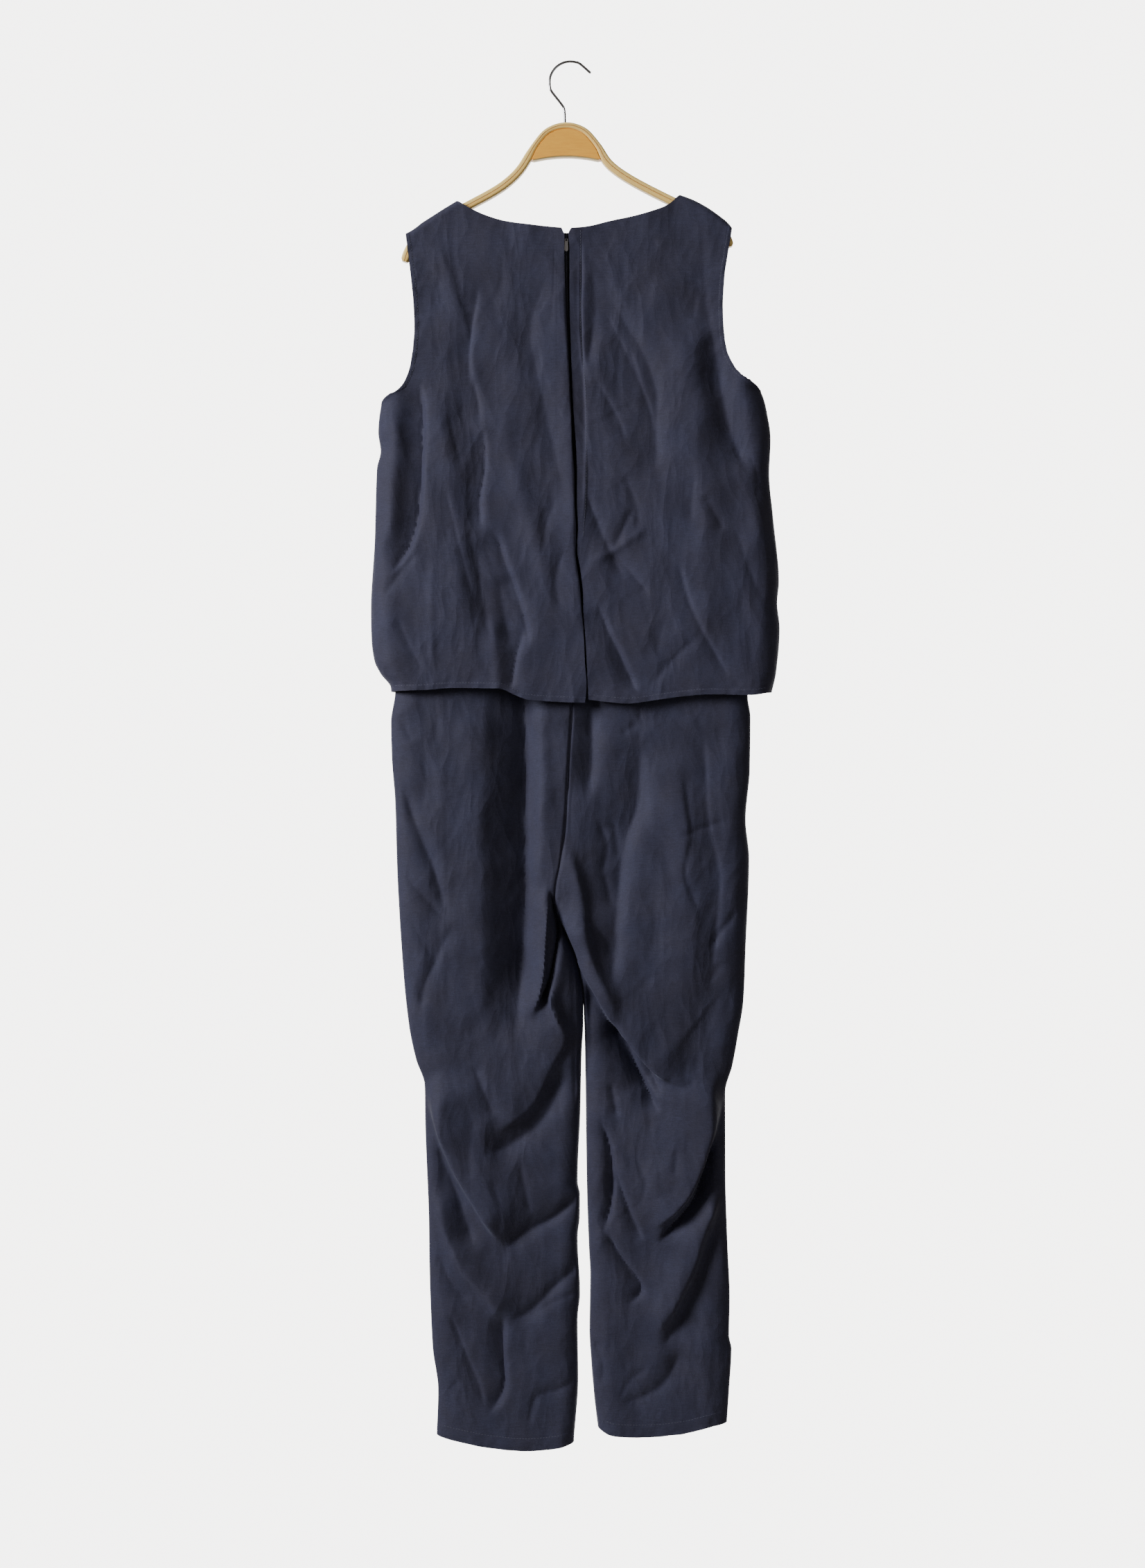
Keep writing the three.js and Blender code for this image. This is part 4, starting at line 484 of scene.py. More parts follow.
def edge_band(distance, width, rise):
    """Doubled cloth of a turned edge, a small step up near it."""
    return rise * (1 - eased((distance - width + 0.4) / 0.8))


def hem_ripple(x, z, distance):
    """Small puckers that sewing leaves along an edge."""
    return 0.35 * ripples(x, z, 13, 5) * np.exp(-np.maximum(distance, 0) / 9)


def top_back_neck_z(x):
    return shoulder_and_neck_z(x, 0)


def top_front_neck_z(x):
    return shoulder_and_neck_z(x, FRONT_NECK_DROP)


def bodice_height(x, z):
    side = np.maximum(0, top_side_distance(x, z) - bodice_inset(x, z))
    shoulder = np.maximum(0, shoulder_distance(x, z) - BODICE_SHOULDER_DROP * SHOULDER_LEAN)
    return bodice_depth(z) * rounded(side, SIDE_ROUND) * rounded(shoulder, SHOULDER_ROUND)


def top_layer(face, creases):
    """Height of the top layer, as a function of the place and the lift there."""
    def height(x, z):
        side, shoulder = top_side_distance(x, z), shoulder_distance(x, z)
        body = top_depth[face](z) * rounded(side, SIDE_ROUND) * rounded(shoulder, SHOULDER_ROUND)
        lift, shift_x, shift_z = crease_effect(creases, x, z)
        room = eased(side / 24) * eased((shoulder - SHOULDER_ROUND) / 50)
        uneven = 0.7 * ripples(x, z, 60, 11)
        hem = z - top_hem_z(x)
        armhole = np.minimum(x - top_left_x(z), top_right_x(z) - x)
        armhole = np.where(z > UNDERARM_RIGHT[1] - 20, armhole, 99)
        edge = np.minimum(hem, armhole)
        raised = edge_band(hem, 6, 0.5) + edge_band(armhole, 4.5, 0.4) + hem_ripple(x, z, edge)
        rest = np.where(z > WAIST_Z, bodice_height(x, z) + 1.4, 0)
        margin = np.maximum(body + SLACK * room - rest, 0.2)
        pushed = (lift + uneven) * room
        pushed = np.where(pushed < 0, margin * np.tanh(pushed / margin), pushed)
        slack = SLACK * room * eased((hem - 10) / 80)
        stand = body + slack + pushed + raised * rounded(side, SIDE_ROUND)
        return stand, shift_x * room, shift_z * room
    return height


def bodice_layer(x, z):
    still = np.zeros_like(x)
    return bodice_height(x, z), still, still


def trouser_layer(face, leg, creases):
    """Height of one trouser piece, with its creases' lift and roll."""
    def height(x, z):
        outside = x - outside_x[leg](z) if leg == "left" else outside_x[leg](z) - x
        inside = (inside_x[leg](z) - x if leg == "left" else x - inside_x[leg](z)) - SEAM_HALF
        outside, inside = np.maximum(outside, 0), np.maximum(inside, 0)
        parted = parting(z)
        inner = mix(1, rounded(inside, LEG_ROUND), parted)
        body = trouser_depth[face](z) * rounded(outside, SIDE_ROUND) * inner
        lift, shift_x, shift_z = crease_effect(creases, x, z)
        room = eased(outside / 22) * mix(1, eased(inside / 7), parted)
        uneven = 0.7 * ripples(x, z, 60, 21) * eased((WAIST_Z - z) / 60)
        hem = z - leg_hem_z[leg](x)
        raised = edge_band(hem, 15, 0.45) + hem_ripple(x, z, hem)
        seam = -1.8 * np.exp(-((inside / 1.7) ** 2)) * (1 - parted) * eased((WAIST_Z - z) / 60)
        stand = body + (lift + uneven) * room + (raised * rounded(outside, 12) + seam) * inner
        return np.maximum(stand, -DEEPEST * room), shift_x * room, shift_z * room
    return height


# Shares of an edge: fine steps near an end, even ones between
EDGE_STEPS = (0, 0.15, 0.6, 1.3, 2.1, 3.1, 4.1, 4.9, 5.6, 6.4, 7.6, 9.3, 11.5)
HEM_STEPS = (0, 0.5, 1.6, 3.2, 4.6, 5.4, 5.8, 6.4, 7.4, 9.4, 12, 14, 14.8, 15.4, 16.2, 18)
OPENING_STEPS = (0, 0.5, 1.3, 2.4, 3.8, 5.2, 6.6, 8, 9, 10, 11, 12, 13, 14, 15, 16, 17.2, 18.6, 20.4)


def grid_lines(length, spacing, start=EDGE_STEPS, end=EDGE_STEPS):
    first, last = np.array(start), length - np.array(end)[::-1]
    count = max(2, round((last[0] - first[-1]) / spacing))
    return np.concatenate((first, np.linspace(first[-1], last[0], count + 1)[1:-1], last)) / length


def coons(left, right, top, bottom, columns, rows):
    """Grid of places between four boundary curves, a row for each share down."""
    (left_x, left_top, left_bottom), (right_x, right_top, right_bottom) = left, right
    s, t = np.meshgrid(columns, rows)
    corner_x = [left_x(left_top), left_x(left_bottom), right_x(right_top), right_x(right_bottom)]
    left_z, right_z = mix(left_top, left_bottom, t), mix(right_top, right_bottom, t)
    top_x, bottom_x = mix(corner_x[0], corner_x[2], s), mix(corner_x[1], corner_x[3], s)
    x = mix(left_x(left_z), right_x(right_z), s)
    x = x + mix(top_x, bottom_x, t) - mix(mix(corner_x[0], corner_x[2], s), mix(corner_x[1], corner_x[3], s), t)
    top_line, bottom_line = mix(left_top, right_top, s), mix(left_bottom, right_bottom, s)
    z = mix(left_z, right_z, s) + mix(top(top_x), bottom(bottom_x), t) - mix(top_line, bottom_line, t)
    return x, z


def grid_normals(points):
    """Unit normals of a grid of points that has rows running down and columns running to +X."""
    down = np.gradient(points, axis=0)
    across = np.gradient(points, axis=1)
    normal = np.cross(down, across)
    return normal / np.maximum(np.linalg.norm(normal, axis=2, keepdims=True), 1e-9)


def shell_mesh(name, outer, inner, outward):
    """Closed thin mesh between two grids of points in millimetres."""
    rows, columns = outer.shape[:2]
    index = np.arange(rows * columns).reshape(rows, columns)
    shift = rows * columns
    a, b, c, d = index[:-1, :-1], index[1:, :-1], index[1:, 1:], index[:-1, 1:]
    faces = [np.stack((a, b, c, d), axis=-1).reshape(-1, 4)]
    faces.append(np.stack((a, d, c, b), axis=-1).reshape(-1, 4) + shift)

    def rim(line):
        near, far = line[:-1], line[1:]
        return np.stack((near, far, far + shift, near + shift), axis=-1)

    faces += [rim(index[::-1, 0]), rim(index[:, -1]), rim(index[0]), rim(index[-1, ::-1])]
    faces = np.vstack(faces)
    if outward > 0:
        faces = faces[:, ::-1]
    points = np.vstack((outer.reshape(-1, 3), inner.reshape(-1, 3))) * MM
    mesh = bpy.data.meshes.new(name)
    mesh.from_pydata(points, [], faces)
    mesh.shade_smooth()
    mesh.set_sharp_from_angle(angle=math.radians(55))
    return mesh


def add_object(name, mesh, material, node=None):
    """Puts a piece in the scene, on the one body that carries it."""
    piece = bpy.data.objects.new(name, mesh)
    bpy.context.collection.objects.link(piece)
    for each in material if isinstance(material, (list, tuple)) else [material]:
        mesh.materials.append(each)
    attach(piece, BODY)
    if node:
        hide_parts(node)
    return piece


def cloth_piece(name, node, material, slot, face, left, right, top, bottom, height, spacing, flat,
                closed=(None, None), starts=(EDGE_STEPS, EDGE_STEPS), ends=(EDGE_STEPS, HEM_STEPS)):
    """One cut piece of cloth as a thin closed shell."""
    outward = -1 if face == "back" else 1
    width = abs(right[0](mix(right[1], right[2], 0.5)) - left[0](mix(left[1], left[2], 0.5)))
    length = abs(left[2] - left[1])
    columns = grid_lines(width, spacing, *starts)
    rows = grid_lines(length, spacing, *ends)
    x, z = coons(left, right, top, bottom, columns, rows)
    stand, shift_x, shift_z = height(x, z)
    outer = np.stack((x + shift_x, outward * (stand + SEAM_HALF), z + shift_z), axis=-1)
    inward = grid_normals(outer) * (1 if face == "back" else -1)
    inward = np.where((inward[..., 1:2] * outward) > 0, -inward, inward)
    for column, sign, shut in ((0, 1, closed[0]), (-1, -1, closed[1])):
        if shut is not None:
            edge_z = mix(left[1], left[2], rows) if column == 0 else mix(right[1], right[2], rows)
            share = shut(edge_z)[:, None]
            inward[:, column] = mix(inward[:, column], np.array([[sign, 0, 0]]), share)
            inward[:, column] /= np.linalg.norm(inward[:, column], axis=1, keepdims=True)
    piece = add_object(name, shell_mesh(name, outer, outer + inward * CLOTH, outward), material, node)
    return piece


# Materials

def node_material(name):
    material = bpy.data.materials.new(name)
    material.use_nodes = True
    nodes, links = material.node_tree.nodes, material.node_tree.links
    return material, nodes, links, nodes["Principled BSDF"]


def texture(nodes, links, kind, vector, **values):
    node = nodes.new(kind)
    links.new(vector, node.inputs["Vector"])
    for key, value in values.items():
        if key in node.inputs:
            node.inputs[key].default_value = value
        else:
            setattr(node, key, value)
    return node


def scaled(nodes, links, scale, source="Object"):
    """Coordinates of the piece in metres, stretched by a scale for each axis."""
    coordinates = nodes.new("ShaderNodeTexCoord")
    mapping = nodes.new("ShaderNodeMapping")
    mapping.inputs["Scale"].default_value = scale
    links.new(coordinates.outputs[source], mapping.inputs["Vector"])
    return mapping.outputs["Vector"]


def colour_ramp(nodes, links, factor, stops):
    ramp = nodes.new("ShaderNodeValToRGB")
    elements = ramp.color_ramp.elements
    while len(elements) < len(stops):
        elements.new(0.5)
    for element, (place, colour) in zip(elements, stops):
        element.position = place
        element.color = (*colour, 1)
    links.new(factor, ramp.inputs["Fac"])
    return ramp.outputs["Color"]


def bump(nodes, links, height, distance, strength, normal=None):
    node = nodes.new("ShaderNodeBump")
    node.inputs["Distance"].default_value = distance
    node.inputs["Strength"].default_value = strength
    links.new(height, node.inputs["Height"])
    if normal is not None:
        links.new(normal, node.inputs["Normal"])
    return node.outputs["Normal"]


def blended(nodes, links, mode, factor, a, b):
    node = nodes.new("ShaderNodeMix")
    node.data_type = "RGBA"
    node.blend_type = mode
    node.inputs["Factor"].default_value = factor
    links.new(a, node.inputs["A"])
    links.new(b, node.inputs["B"])
    return node.outputs["Result"]


def crepe(name, colour, sheen, crumple):
    """Dull crepe: a fine twill with pebbled threads, faint slubs and soft crumpling."""
    material, nodes, links, shader = node_material(name)
    plain = scaled(nodes, links, (1, 1, 1))
    mottle = texture(nodes, links, "ShaderNodeTexNoise", plain, Scale=24, Detail=5, Roughness=0.62)
    dark = [c * tone for c, tone in zip(colour, (0.97, 0.92, 0.87))]
    light = [c * tone for c, tone in zip(colour, (1.02, 1.06, 1.1))]
    base = colour_ramp(nodes, links, mottle.outputs["Fac"], [(0.3, dark), (0.72, light)])
    slub_place = scaled(nodes, links, (110, 110, 1500))
    slubs = texture(nodes, links, "ShaderNodeTexNoise", slub_place, Scale=1, Detail=3, Roughness=0.6)
    slub_tone = colour_ramp(nodes, links, slubs.outputs["Fac"], [(0.3, [0.8] * 3), (0.7, [1.2] * 3)])
    base = blended(nodes, links, "MULTIPLY", 0.8, base, slub_tone)
    pebbles = texture(nodes, links, "ShaderNodeTexNoise", plain, Scale=950, Detail=2, Roughness=0.6)
    pebble_tone = colour_ramp(nodes, links, pebbles.outputs["Fac"], [(0.3, [0.78] * 3), (0.7, [1.22] * 3)])
    base = blended(nodes, links, "MULTIPLY", 0.8, base, pebble_tone)
    links.new(base, shader.inputs["Base Color"])
    twill_place = scaled(nodes, links, (1, 1, 1))
    twill = texture(nodes, links, "ShaderNodeTexWave", twill_place, Scale=430, Distortion=0.6)
    twill.bands_direction = "DIAGONAL"
    upright = scaled(nodes, links, (1, 1, 0.5))
    sway = texture(nodes, links, "ShaderNodeTexNoise", upright, Scale=14, Detail=2, Roughness=0.5)
    swayed = nodes.new("ShaderNodeVectorMath")
    swayed.operation = "MULTIPLY_ADD"
    swayed.inputs[1].default_value = (0.05, 0.05, 0.05)
    links.new(sway.outputs["Color"], swayed.inputs[0])
    links.new(upright, swayed.inputs[2])
    folds = texture(nodes, links, "ShaderNodeTexVoronoi", swayed.outputs["Vector"], Scale=22, Detail=2, Roughness=0.45)
    normal = bump(nodes, links, folds.outputs["Distance"], 0.006, crumple)
    normal = bump(nodes, links, pebbles.outputs["Fac"], 0.0003, 0.4, normal)
    normal = bump(nodes, links, slubs.outputs["Fac"], 0.0002, 0.4, normal)
    normal = bump(nodes, links, twill.outputs["Fac"], 0.00012, 0.45, normal)
    links.new(normal, shader.inputs["Normal"])
    shader.inputs["Roughness"].default_value = 0.78
    shader.inputs["Specular IOR Level"].default_value = 0.3
    shader.inputs["Sheen Weight"].default_value = sheen
    shader.inputs["Sheen Roughness"].default_value = 0.45
    shader.inputs["Sheen Tint"].default_value = (0.55, 0.6, 0.8, 1)
    return material


def thread(name, colour):
    """Sewing thread: two twisted plies, as fine slanting bands of painted shade and highlight over a matching bump."""
    material, nodes, links, shader = node_material(name)
    place = scaled(nodes, links, (1, 1, 1))
    plies = texture(nodes, links, "ShaderNodeTexWave", place, Scale=900, Distortion=0.4)
    plies.bands_direction = "DIAGONAL"
    # Darker grooves and lighter crowns of the plies: painted shade and highlight, on the same bands as the bump.
    tones = [(0, [c * 0.6 for c in colour]), (1, [c * 1.15 for c in colour])]
    links.new(colour_ramp(nodes, links, plies.outputs["Fac"], tones), shader.inputs["Base Color"])
    links.new(bump(nodes, links, plies.outputs["Fac"], 0.0001, 0.6), shader.inputs["Normal"])
    shader.inputs["Roughness"].default_value = 0.6
    return material


def wood(name, light, dark, source="UV", stretch=(14, 420, 420)):
    """Varnished beech: long grain with short flecks."""
    material, nodes, links, shader = node_material(name)
    place = scaled(nodes, links, stretch, source)
    grain = texture(nodes, links, "ShaderNodeTexNoise", place, Scale=1, Detail=6, Roughness=0.65, Distortion=0.4)
    base = colour_ramp(nodes, links, grain.outputs["Fac"], [(0.32, dark), (0.62, light)])
    fleck_place = scaled(nodes, links, (stretch[0] * 18, stretch[1] * 3, stretch[2] * 3), source)
    flecks = texture(nodes, links, "ShaderNodeTexNoise", fleck_place, Scale=1, Detail=2)
    tone = colour_ramp(nodes, links, flecks.outputs["Fac"], [(0.34, [0.86] * 3), (0.46, [1] * 3)])
    links.new(blended(nodes, links, "MULTIPLY", 0.6, base, tone), shader.inputs["Base Color"])
    links.new(bump(nodes, links, grain.outputs["Fac"], 0.0002, 0.25), shader.inputs["Normal"])
    shader.inputs["Roughness"].default_value = 0.5
    shader.inputs["Coat Weight"].default_value = 0.12
    shader.inputs["Coat Roughness"].default_value = 0.2
    return material


def metal(name, colour, roughness):
    """Plated metal with faint drawn marks and rubbed spots."""
    material, nodes, links, shader = node_material(name)
    place = scaled(nodes, links, (900, 900, 120))
    marks = texture(nodes, links, "ShaderNodeTexNoise", place, Scale=1, Detail=4)
    rough = colour_ramp(nodes, links, marks.outputs["Fac"], [(0.3, [roughness * 0.7] * 3), (0.7, [roughness * 1.5] * 3)])
    links.new(rough, shader.inputs["Roughness"])
    tones = [(0.3, [c * 0.86 for c in colour]), (0.7, colour)]
    links.new(colour_ramp(nodes, links, marks.outputs["Fac"], tones), shader.inputs["Base Color"])
    links.new(bump(nodes, links, marks.outputs["Fac"], 0.00005, 0.2), shader.inputs["Normal"])
    shader.inputs["Metallic"].default_value = 1
    return material


TOP_COLOUR = (0.0285, 0.0296, 0.0562)
# The trousers take the top's navy crepe a little darker: painted shade for the dimmer light on the legs.
TROUSER_SHADED_COLOUR = (0.0268, 0.0280, 0.0534)
# The bodice is the same navy painted much darker: painted shade, as it shows only deep in the shaded back opening.
BODICE_SHADED_COLOUR = (0.015, 0.016, 0.025)
top_cloth = crepe("top_crepe", TOP_COLOUR, 0.12, 0.5)
trouser_cloth = crepe("trouser_shaded_crepe", TROUSER_SHADED_COLOUR, 0.12, 0.5)
bodice_cloth = crepe("bodice_shaded_crepe", BODICE_SHADED_COLOUR, 0.05, 0.2)
navy_thread_with_ply_shade = thread("navy_thread_with_ply_shade", (0.075, 0.08, 0.12))
hook_steel = metal("hook_steel", (0.42, 0.43, 0.45), 0.14)
zip_steel = metal("zip_steel", (0.55, 0.55, 0.58), 0.25)
zip_lacquer = metal("zip_lacquer", (0.035, 0.036, 0.05), 0.35)
outer_ply = wood("outer_ply", (1, 0.74, 0.24), (0.96, 0.66, 0.19))
inner_ply = wood("inner_ply", (1, 0.70, 0.21), (0.94, 0.60, 0.16))
glue_line = wood("glue_line", (0.60, 0.30, 0.08), (0.48, 0.22, 0.06))
panel_veneer = wood("panel_veneer", (1, 0.5, 0.06), (0.92, 0.42, 0.05), "Object", (60, 60, 500))


def always(z):
    return np.ones_like(z)


def below(level):
    return lambda z: (z <= level).astype(float)


def build_top():
    left = (top_left_x, -205.4, -754.1)
    right = (top_right_x, -198.8, -754.9)
    opening_left = (opening_left_x, float(top_back_neck_z(np.array(-10.8))), float(top_hem_z(17.4)))
    opening_right = (opening_right_x, float(top_back_neck_z(np.array(1.8))), float(top_hem_z(21.6)))
    back = top_layer("back", TOP_BACK_CREASES + TOP_SEAMS)
    common = dict(material=top_cloth, slot="top_cloth")
    cloth_piece("cloth_top_back_left", "top_back_left", face="back", left=left, right=opening_left,
                top=top_back_neck_z, bottom=top_hem_z, height=back, spacing=2.3, flat=(0.27, 0.62),
                closed=(below(UNDERARM_LEFT[1]), None), starts=(EDGE_STEPS, OPENING_STEPS), **common)
    cloth_piece("cloth_top_back_right", "top_back_right", face="back", left=opening_right, right=right,
                top=top_back_neck_z, bottom=top_hem_z, height=back, spacing=2.3, flat=(0.27, 0.62),
                closed=(None, below(UNDERARM_RIGHT[1])), starts=(OPENING_STEPS, EDGE_STEPS), **common)

    def front_hem_z(x):
        return mix(-754.1, -754.9, (x + 214.8) / 455.9)

    cloth_piece("cloth_top_front", "top_front", face="front", left=left, right=right,
                top=top_front_neck_z, bottom=front_hem_z, height=top_layer("front", TOP_FRONT_CREASES),
                spacing=4.5, flat=(0.52, 0.61), closed=(below(UNDERARM_LEFT[1]), below(UNDERARM_RIGHT[1])), **common)


def build_bodice():
    def side_x(sign):
        edge = top_left_x if sign < 0 else top_right_x
        return lambda z: edge(z) - sign * bodice_inset(np.full_like(np.asarray(z, float), sign), z)

    def top_edge(neck_drop):
        def at(x):
            from_neck = np.minimum(x - NECK_POINT_LEFT[0], NECK_POINT_RIGHT[0] - x)
            drop = mix(BODICE_SHOULDER_DROP, BODICE_NECK_DROP, eased(from_neck / 20))
            return shoulder_and_neck_z(x, neck_drop) - drop
        return at

    def waist(x):
        return np.full_like(np.asarray(x, float), WAIST_Z + SEAM_HALF)

    bottom = WAIST_Z + SEAM_HALF
    starts = [float(shoulder_and_neck_z(np.array(x), 0)) - BODICE_SHOULDER_DROP for x in (-191.1, 187.4)]
    left, right = (side_x(-1), starts[0], bottom), (side_x(1), starts[1], bottom)
    # The bodice pieces wear the dark navy of painted shade.
    common = dict(material=bodice_cloth, slot="bodice_cloth", bottom=waist, height=bodice_layer, spacing=6,
                  ends=(EDGE_STEPS, EDGE_STEPS))
    for side, sign in (("left", -1), ("right", 1)):
        zip_edge = (lambda z, sign=sign: centre_x(z) + sign * ZIP_GAP / 2,
                    float(top_edge(0)(np.array(float(centre_x(ZIP_TOP_Z)) + sign * ZIP_GAP / 2))), bottom)
        edges = dict(left=left, right=zip_edge) if side == "left" else dict(left=zip_edge, right=right)
        shut = (below(UNDERARM_LEFT[1]), None) if side == "left" else (None, below(UNDERARM_RIGHT[1]))
        cloth_piece(f"cloth_bodice_back_{side}", f"bodice_back_{side}", face="back", top=top_edge(0),
                    flat=(0.25, 0.43), closed=shut, **edges, **common)
    cloth_piece("cloth_bodice_front", "bodice_front", face="front", left=left, right=right,
                top=top_edge(FRONT_NECK_DROP), flat=(0.47, 0.43),
                closed=(below(UNDERARM_LEFT[1]), below(UNDERARM_RIGHT[1])), **common)


def build_trousers():
    top_z = WAIST_Z - SEAM_HALF

    def waist(x):
        return np.full_like(np.asarray(x, float), top_z)

    hems = {"left": LEG_HEM_LEFT, "right": LEG_HEM_RIGHT}
    creases = {
        ("back", "left"): TROUSER_LEFT_CREASES + LEFT_SEAMS,
        ("back", "right"): TROUSER_RIGHT_CREASES + RIGHT_SEAMS,
        ("front", "left"): TROUSER_FRONT_CREASES,
        ("front", "right"): TROUSER_FRONT_CREASES,
    }
    for (face, leg), table in creases.items():
        hem = hems[leg]
        ends = [hem[0][1], hem[-1][1]]
        outer_end, inner_end = ends if leg == "left" else ends[::-1]
        sign = -1 if leg == "left" else 1

        def inner_x(z, leg=leg, sign=sign, face=face):
            room = -SEAM_LAP
            if face == "back":
                room = mix(ZIP_GAP / 2, -SEAM_LAP, eased((ZIP_BOTTOM_Z - z) / 14))
            return inside_x[leg](z) + sign * room

        outside = (outside_x[leg], top_z, outer_end)
        inside = (inner_x, top_z, inner_end)
        left, right = (outside, inside) if leg == "left" else (inside, outside)
        shut = (always, parting) if leg == "left" else (parting, always)
        # Each trouser piece wears the darker navy, painted shade for the legs.
        cloth_piece(f"cloth_trouser_{face}_{leg}", f"trouser_{face}_{leg}", face=face, left=left, right=right,
                    top=waist, bottom=leg_hem_z[leg], height=trouser_layer(face, leg, table),
                    spacing=2.5 if face == "back" else 6, flat=(0.27, 1.1), closed=shut,
                    material=trouser_cloth, slot="trouser_cloth")


TOP_BACK_CREASES += scattered_creases((-225, -745), (235, -215), 60, 31)
TOP_FRONT_CREASES += scattered_creases((-225, -740), (235, -230), 50, 32)
TROUSER_LEFT_CREASES += scattered_creases((-200, -1630), (5, -765), 50, 33)
TROUSER_RIGHT_CREASES += scattered_creases((5, -1620), (205, -765), 50, 34)
TROUSER_FRONT_CREASES += scattered_creases((-195, -1630), (200, -700), 70, 35)
build_top()
build_bodice()
build_trousers()


# Sewing

STITCH_LENGTH, STITCH_PITCH, STITCH_RADIUS = 2.6, 3.5, 0.24


def stitch_row(name, places, height, face):
    """A row of machine stitches along a line of x, z places on one piece's surface."""
    path = smooth_path(places, 1.0)
    steps = np.concatenate(([0], np.cumsum(np.hypot(*np.diff(path, axis=0).T))))
    outward = -1 if face == "back" else 1
    vertices, faces = [], []
    ring = [(math.cos(a), math.sin(a)) for a in np.linspace(0, 2 * math.pi, 6, endpoint=False)]
    profile = ((0, 0.35), (0.18, 1), (0.82, 1), (1, 0.35))
    for start in np.arange(1.5, steps[-1] - STITCH_PITCH, STITCH_PITCH):
        at = np.array([start, start + STITCH_LENGTH])
        x, z = np.interp(at, steps, path[:, 0]), np.interp(at, steps, path[:, 1])
        stand, shift_x, shift_z = height(x, z)
        a, b = np.stack((x + shift_x, outward * (stand + SEAM_HALF + 0.12), z + shift_z), axis=-1)
        along = Vector(b - a).normalized()
        side = along.cross(Vector((0, outward, 0))).normalized()
        up = side.cross(along)
        first = len(vertices)
        for share, size in profile:
            centre = Vector(mix(a, b, share))
            for c, s in ring:
                vertices.append((centre + (side * c + up * s) * STITCH_RADIUS * size) * MM)
        for k in range(len(profile) - 1):
            for j in range(6):
                p, q = first + k * 6 + j, first + k * 6 + (j + 1) % 6
                faces.append((p, q, q + 6, p + 6))
        faces.append(tuple(first + j for j in range(5, -1, -1)))
        faces.append(tuple(first + 18 + j for j in range(6)))
    mesh = bpy.data.meshes.new(name)
    mesh.from_pydata(vertices, [], faces)
    mesh.shade_smooth()
    return add_object(name, mesh, navy_thread_with_ply_shade)


def build_stitches():
    back = top_layer("back", TOP_BACK_CREASES + TOP_SEAMS)
    front = top_layer("front", TOP_FRONT_CREASES)
    for side, start, end in (("left", -210, 12), ("right", 26, 236)):
        x = np.arange(start, end, 8.0)
        stitch_row(f"stitches_hem_back_{side}", list(zip(x, top_hem_z(x) + 6.4)), back, "back")
    x = np.arange(-208, 236, 12.0)
    stitch_row("stitches_hem_front", list(zip(x, mix(-754.1, -754.9, (x + 214.8) / 455.9) + 6.4)), front, "front")
    for face, height in (("back", back), ("front", front)):
        z = np.arange(-214, -396, -6.0)
        stitch_row(f"stitches_armhole_left_{face}", list(zip(top_left_x(z) + 4.8, z)), height, face)
        z = np.arange(-208, -384, -6.0)
        stitch_row(f"stitches_armhole_right_{face}", list(zip(top_right_x(z) - 4.8, z)), height, face)
    placket = TOP_SEAMS[0][-1]
    stitch_row("stitches_placket", [(x + 1.1, z) for x, z in placket], back, "back")
    tables = {
        ("back", "left"): TROUSER_LEFT_CREASES + LEFT_SEAMS,
        ("back", "right"): TROUSER_RIGHT_CREASES + RIGHT_SEAMS,
        ("front", "left"): TROUSER_FRONT_CREASES,
        ("front", "right"): TROUSER_FRONT_CREASES,
    }
    for (face, leg), table in tables.items():
        height = trouser_layer(face, leg, table)
        start, end = (-152, -6) if leg == "left" else (42, 180)
        x = np.arange(start, end, 8.0)
        stitch_row(f"stitches_leg_{face}_{leg}", list(zip(x, leg_hem_z[leg](x) + 15)), height, face)


build_stitches()


# Hanger

HOOK_RADIUS, HOOK_CENTRE_Z, WIRE = 25, -23.5, 1.5
BAND, BAND_AT_PANEL, BAND_HALF_DEPTH, BAND_CORNER = 10, 7.6, 6, 2.4
PANEL_Z, PANEL_LOW_Z, PANEL_HALF_DEPTH = -114, -107, 5.5
BAND_TOP_EDGE = [
    (-203.4, -237.2), (-199.4, -226), (-193.6, -216), (-180.2, -201), (-154.4, -184.2), (-128, -169.3),
    (-96, -152), (-78, -139.6), (-63.9, -125.4), (-51, -105.6), (-35, -84.6), (-21, -75.6), (-6.6, -72.6),
    (7, -74.2), (21.6, -81.6), (36.6, -99), (47.5, -115.6), (58.8, -126), (76, -137.2), (98.6, -149.4),
    (128.4, -164.2), (147.4, -173.6), (166, -184.1), (181.2, -196.8), (191.8, -208.6), (195.8, -219.6),
]


def tube_mesh(name, rings, material_of=None):
    """Closed mesh through rings of points in millimetres, with its grain's UVs along the length."""
    count = len(rings[0])
    vertices = [Vector(p) * MM for ring in rings for p in ring]
    faces, kinds = [], []
    for i in range(len(rings) - 1):
        for j in range(count):
            k = (j + 1) % count
            faces.append((i * count + j, i * count + k, (i + 1) * count + k, (i + 1) * count + j))
            kinds.append(material_of(j) if material_of else 0)
    last = (len(rings) - 1) * count
    faces += [tuple(range(count - 1, -1, -1)), tuple(range(last, last + count))]
    kinds += [0, 0]
    mesh = bpy.data.meshes.new(name)
    mesh.from_pydata(vertices, [], faces)
    mesh.shade_smooth()
    mesh.set_sharp_from_angle(angle=math.radians(40))
    mesh.polygons.foreach_set("material_index", kinds)
    places = np.array(rings)
    along = np.concatenate(([0], np.cumsum(np.linalg.norm(np.diff(places.mean(axis=1), axis=0), axis=1)))) * MM
    around = np.arange(count) * 0.002
    layer = mesh.uv_layers.new(name="grain")
    for polygon in mesh.polygons:
        for loop, vertex in zip(polygon.loop_indices, polygon.vertices):
            layer.data[loop].uv = (along[vertex // count], around[vertex % count])
    return mesh


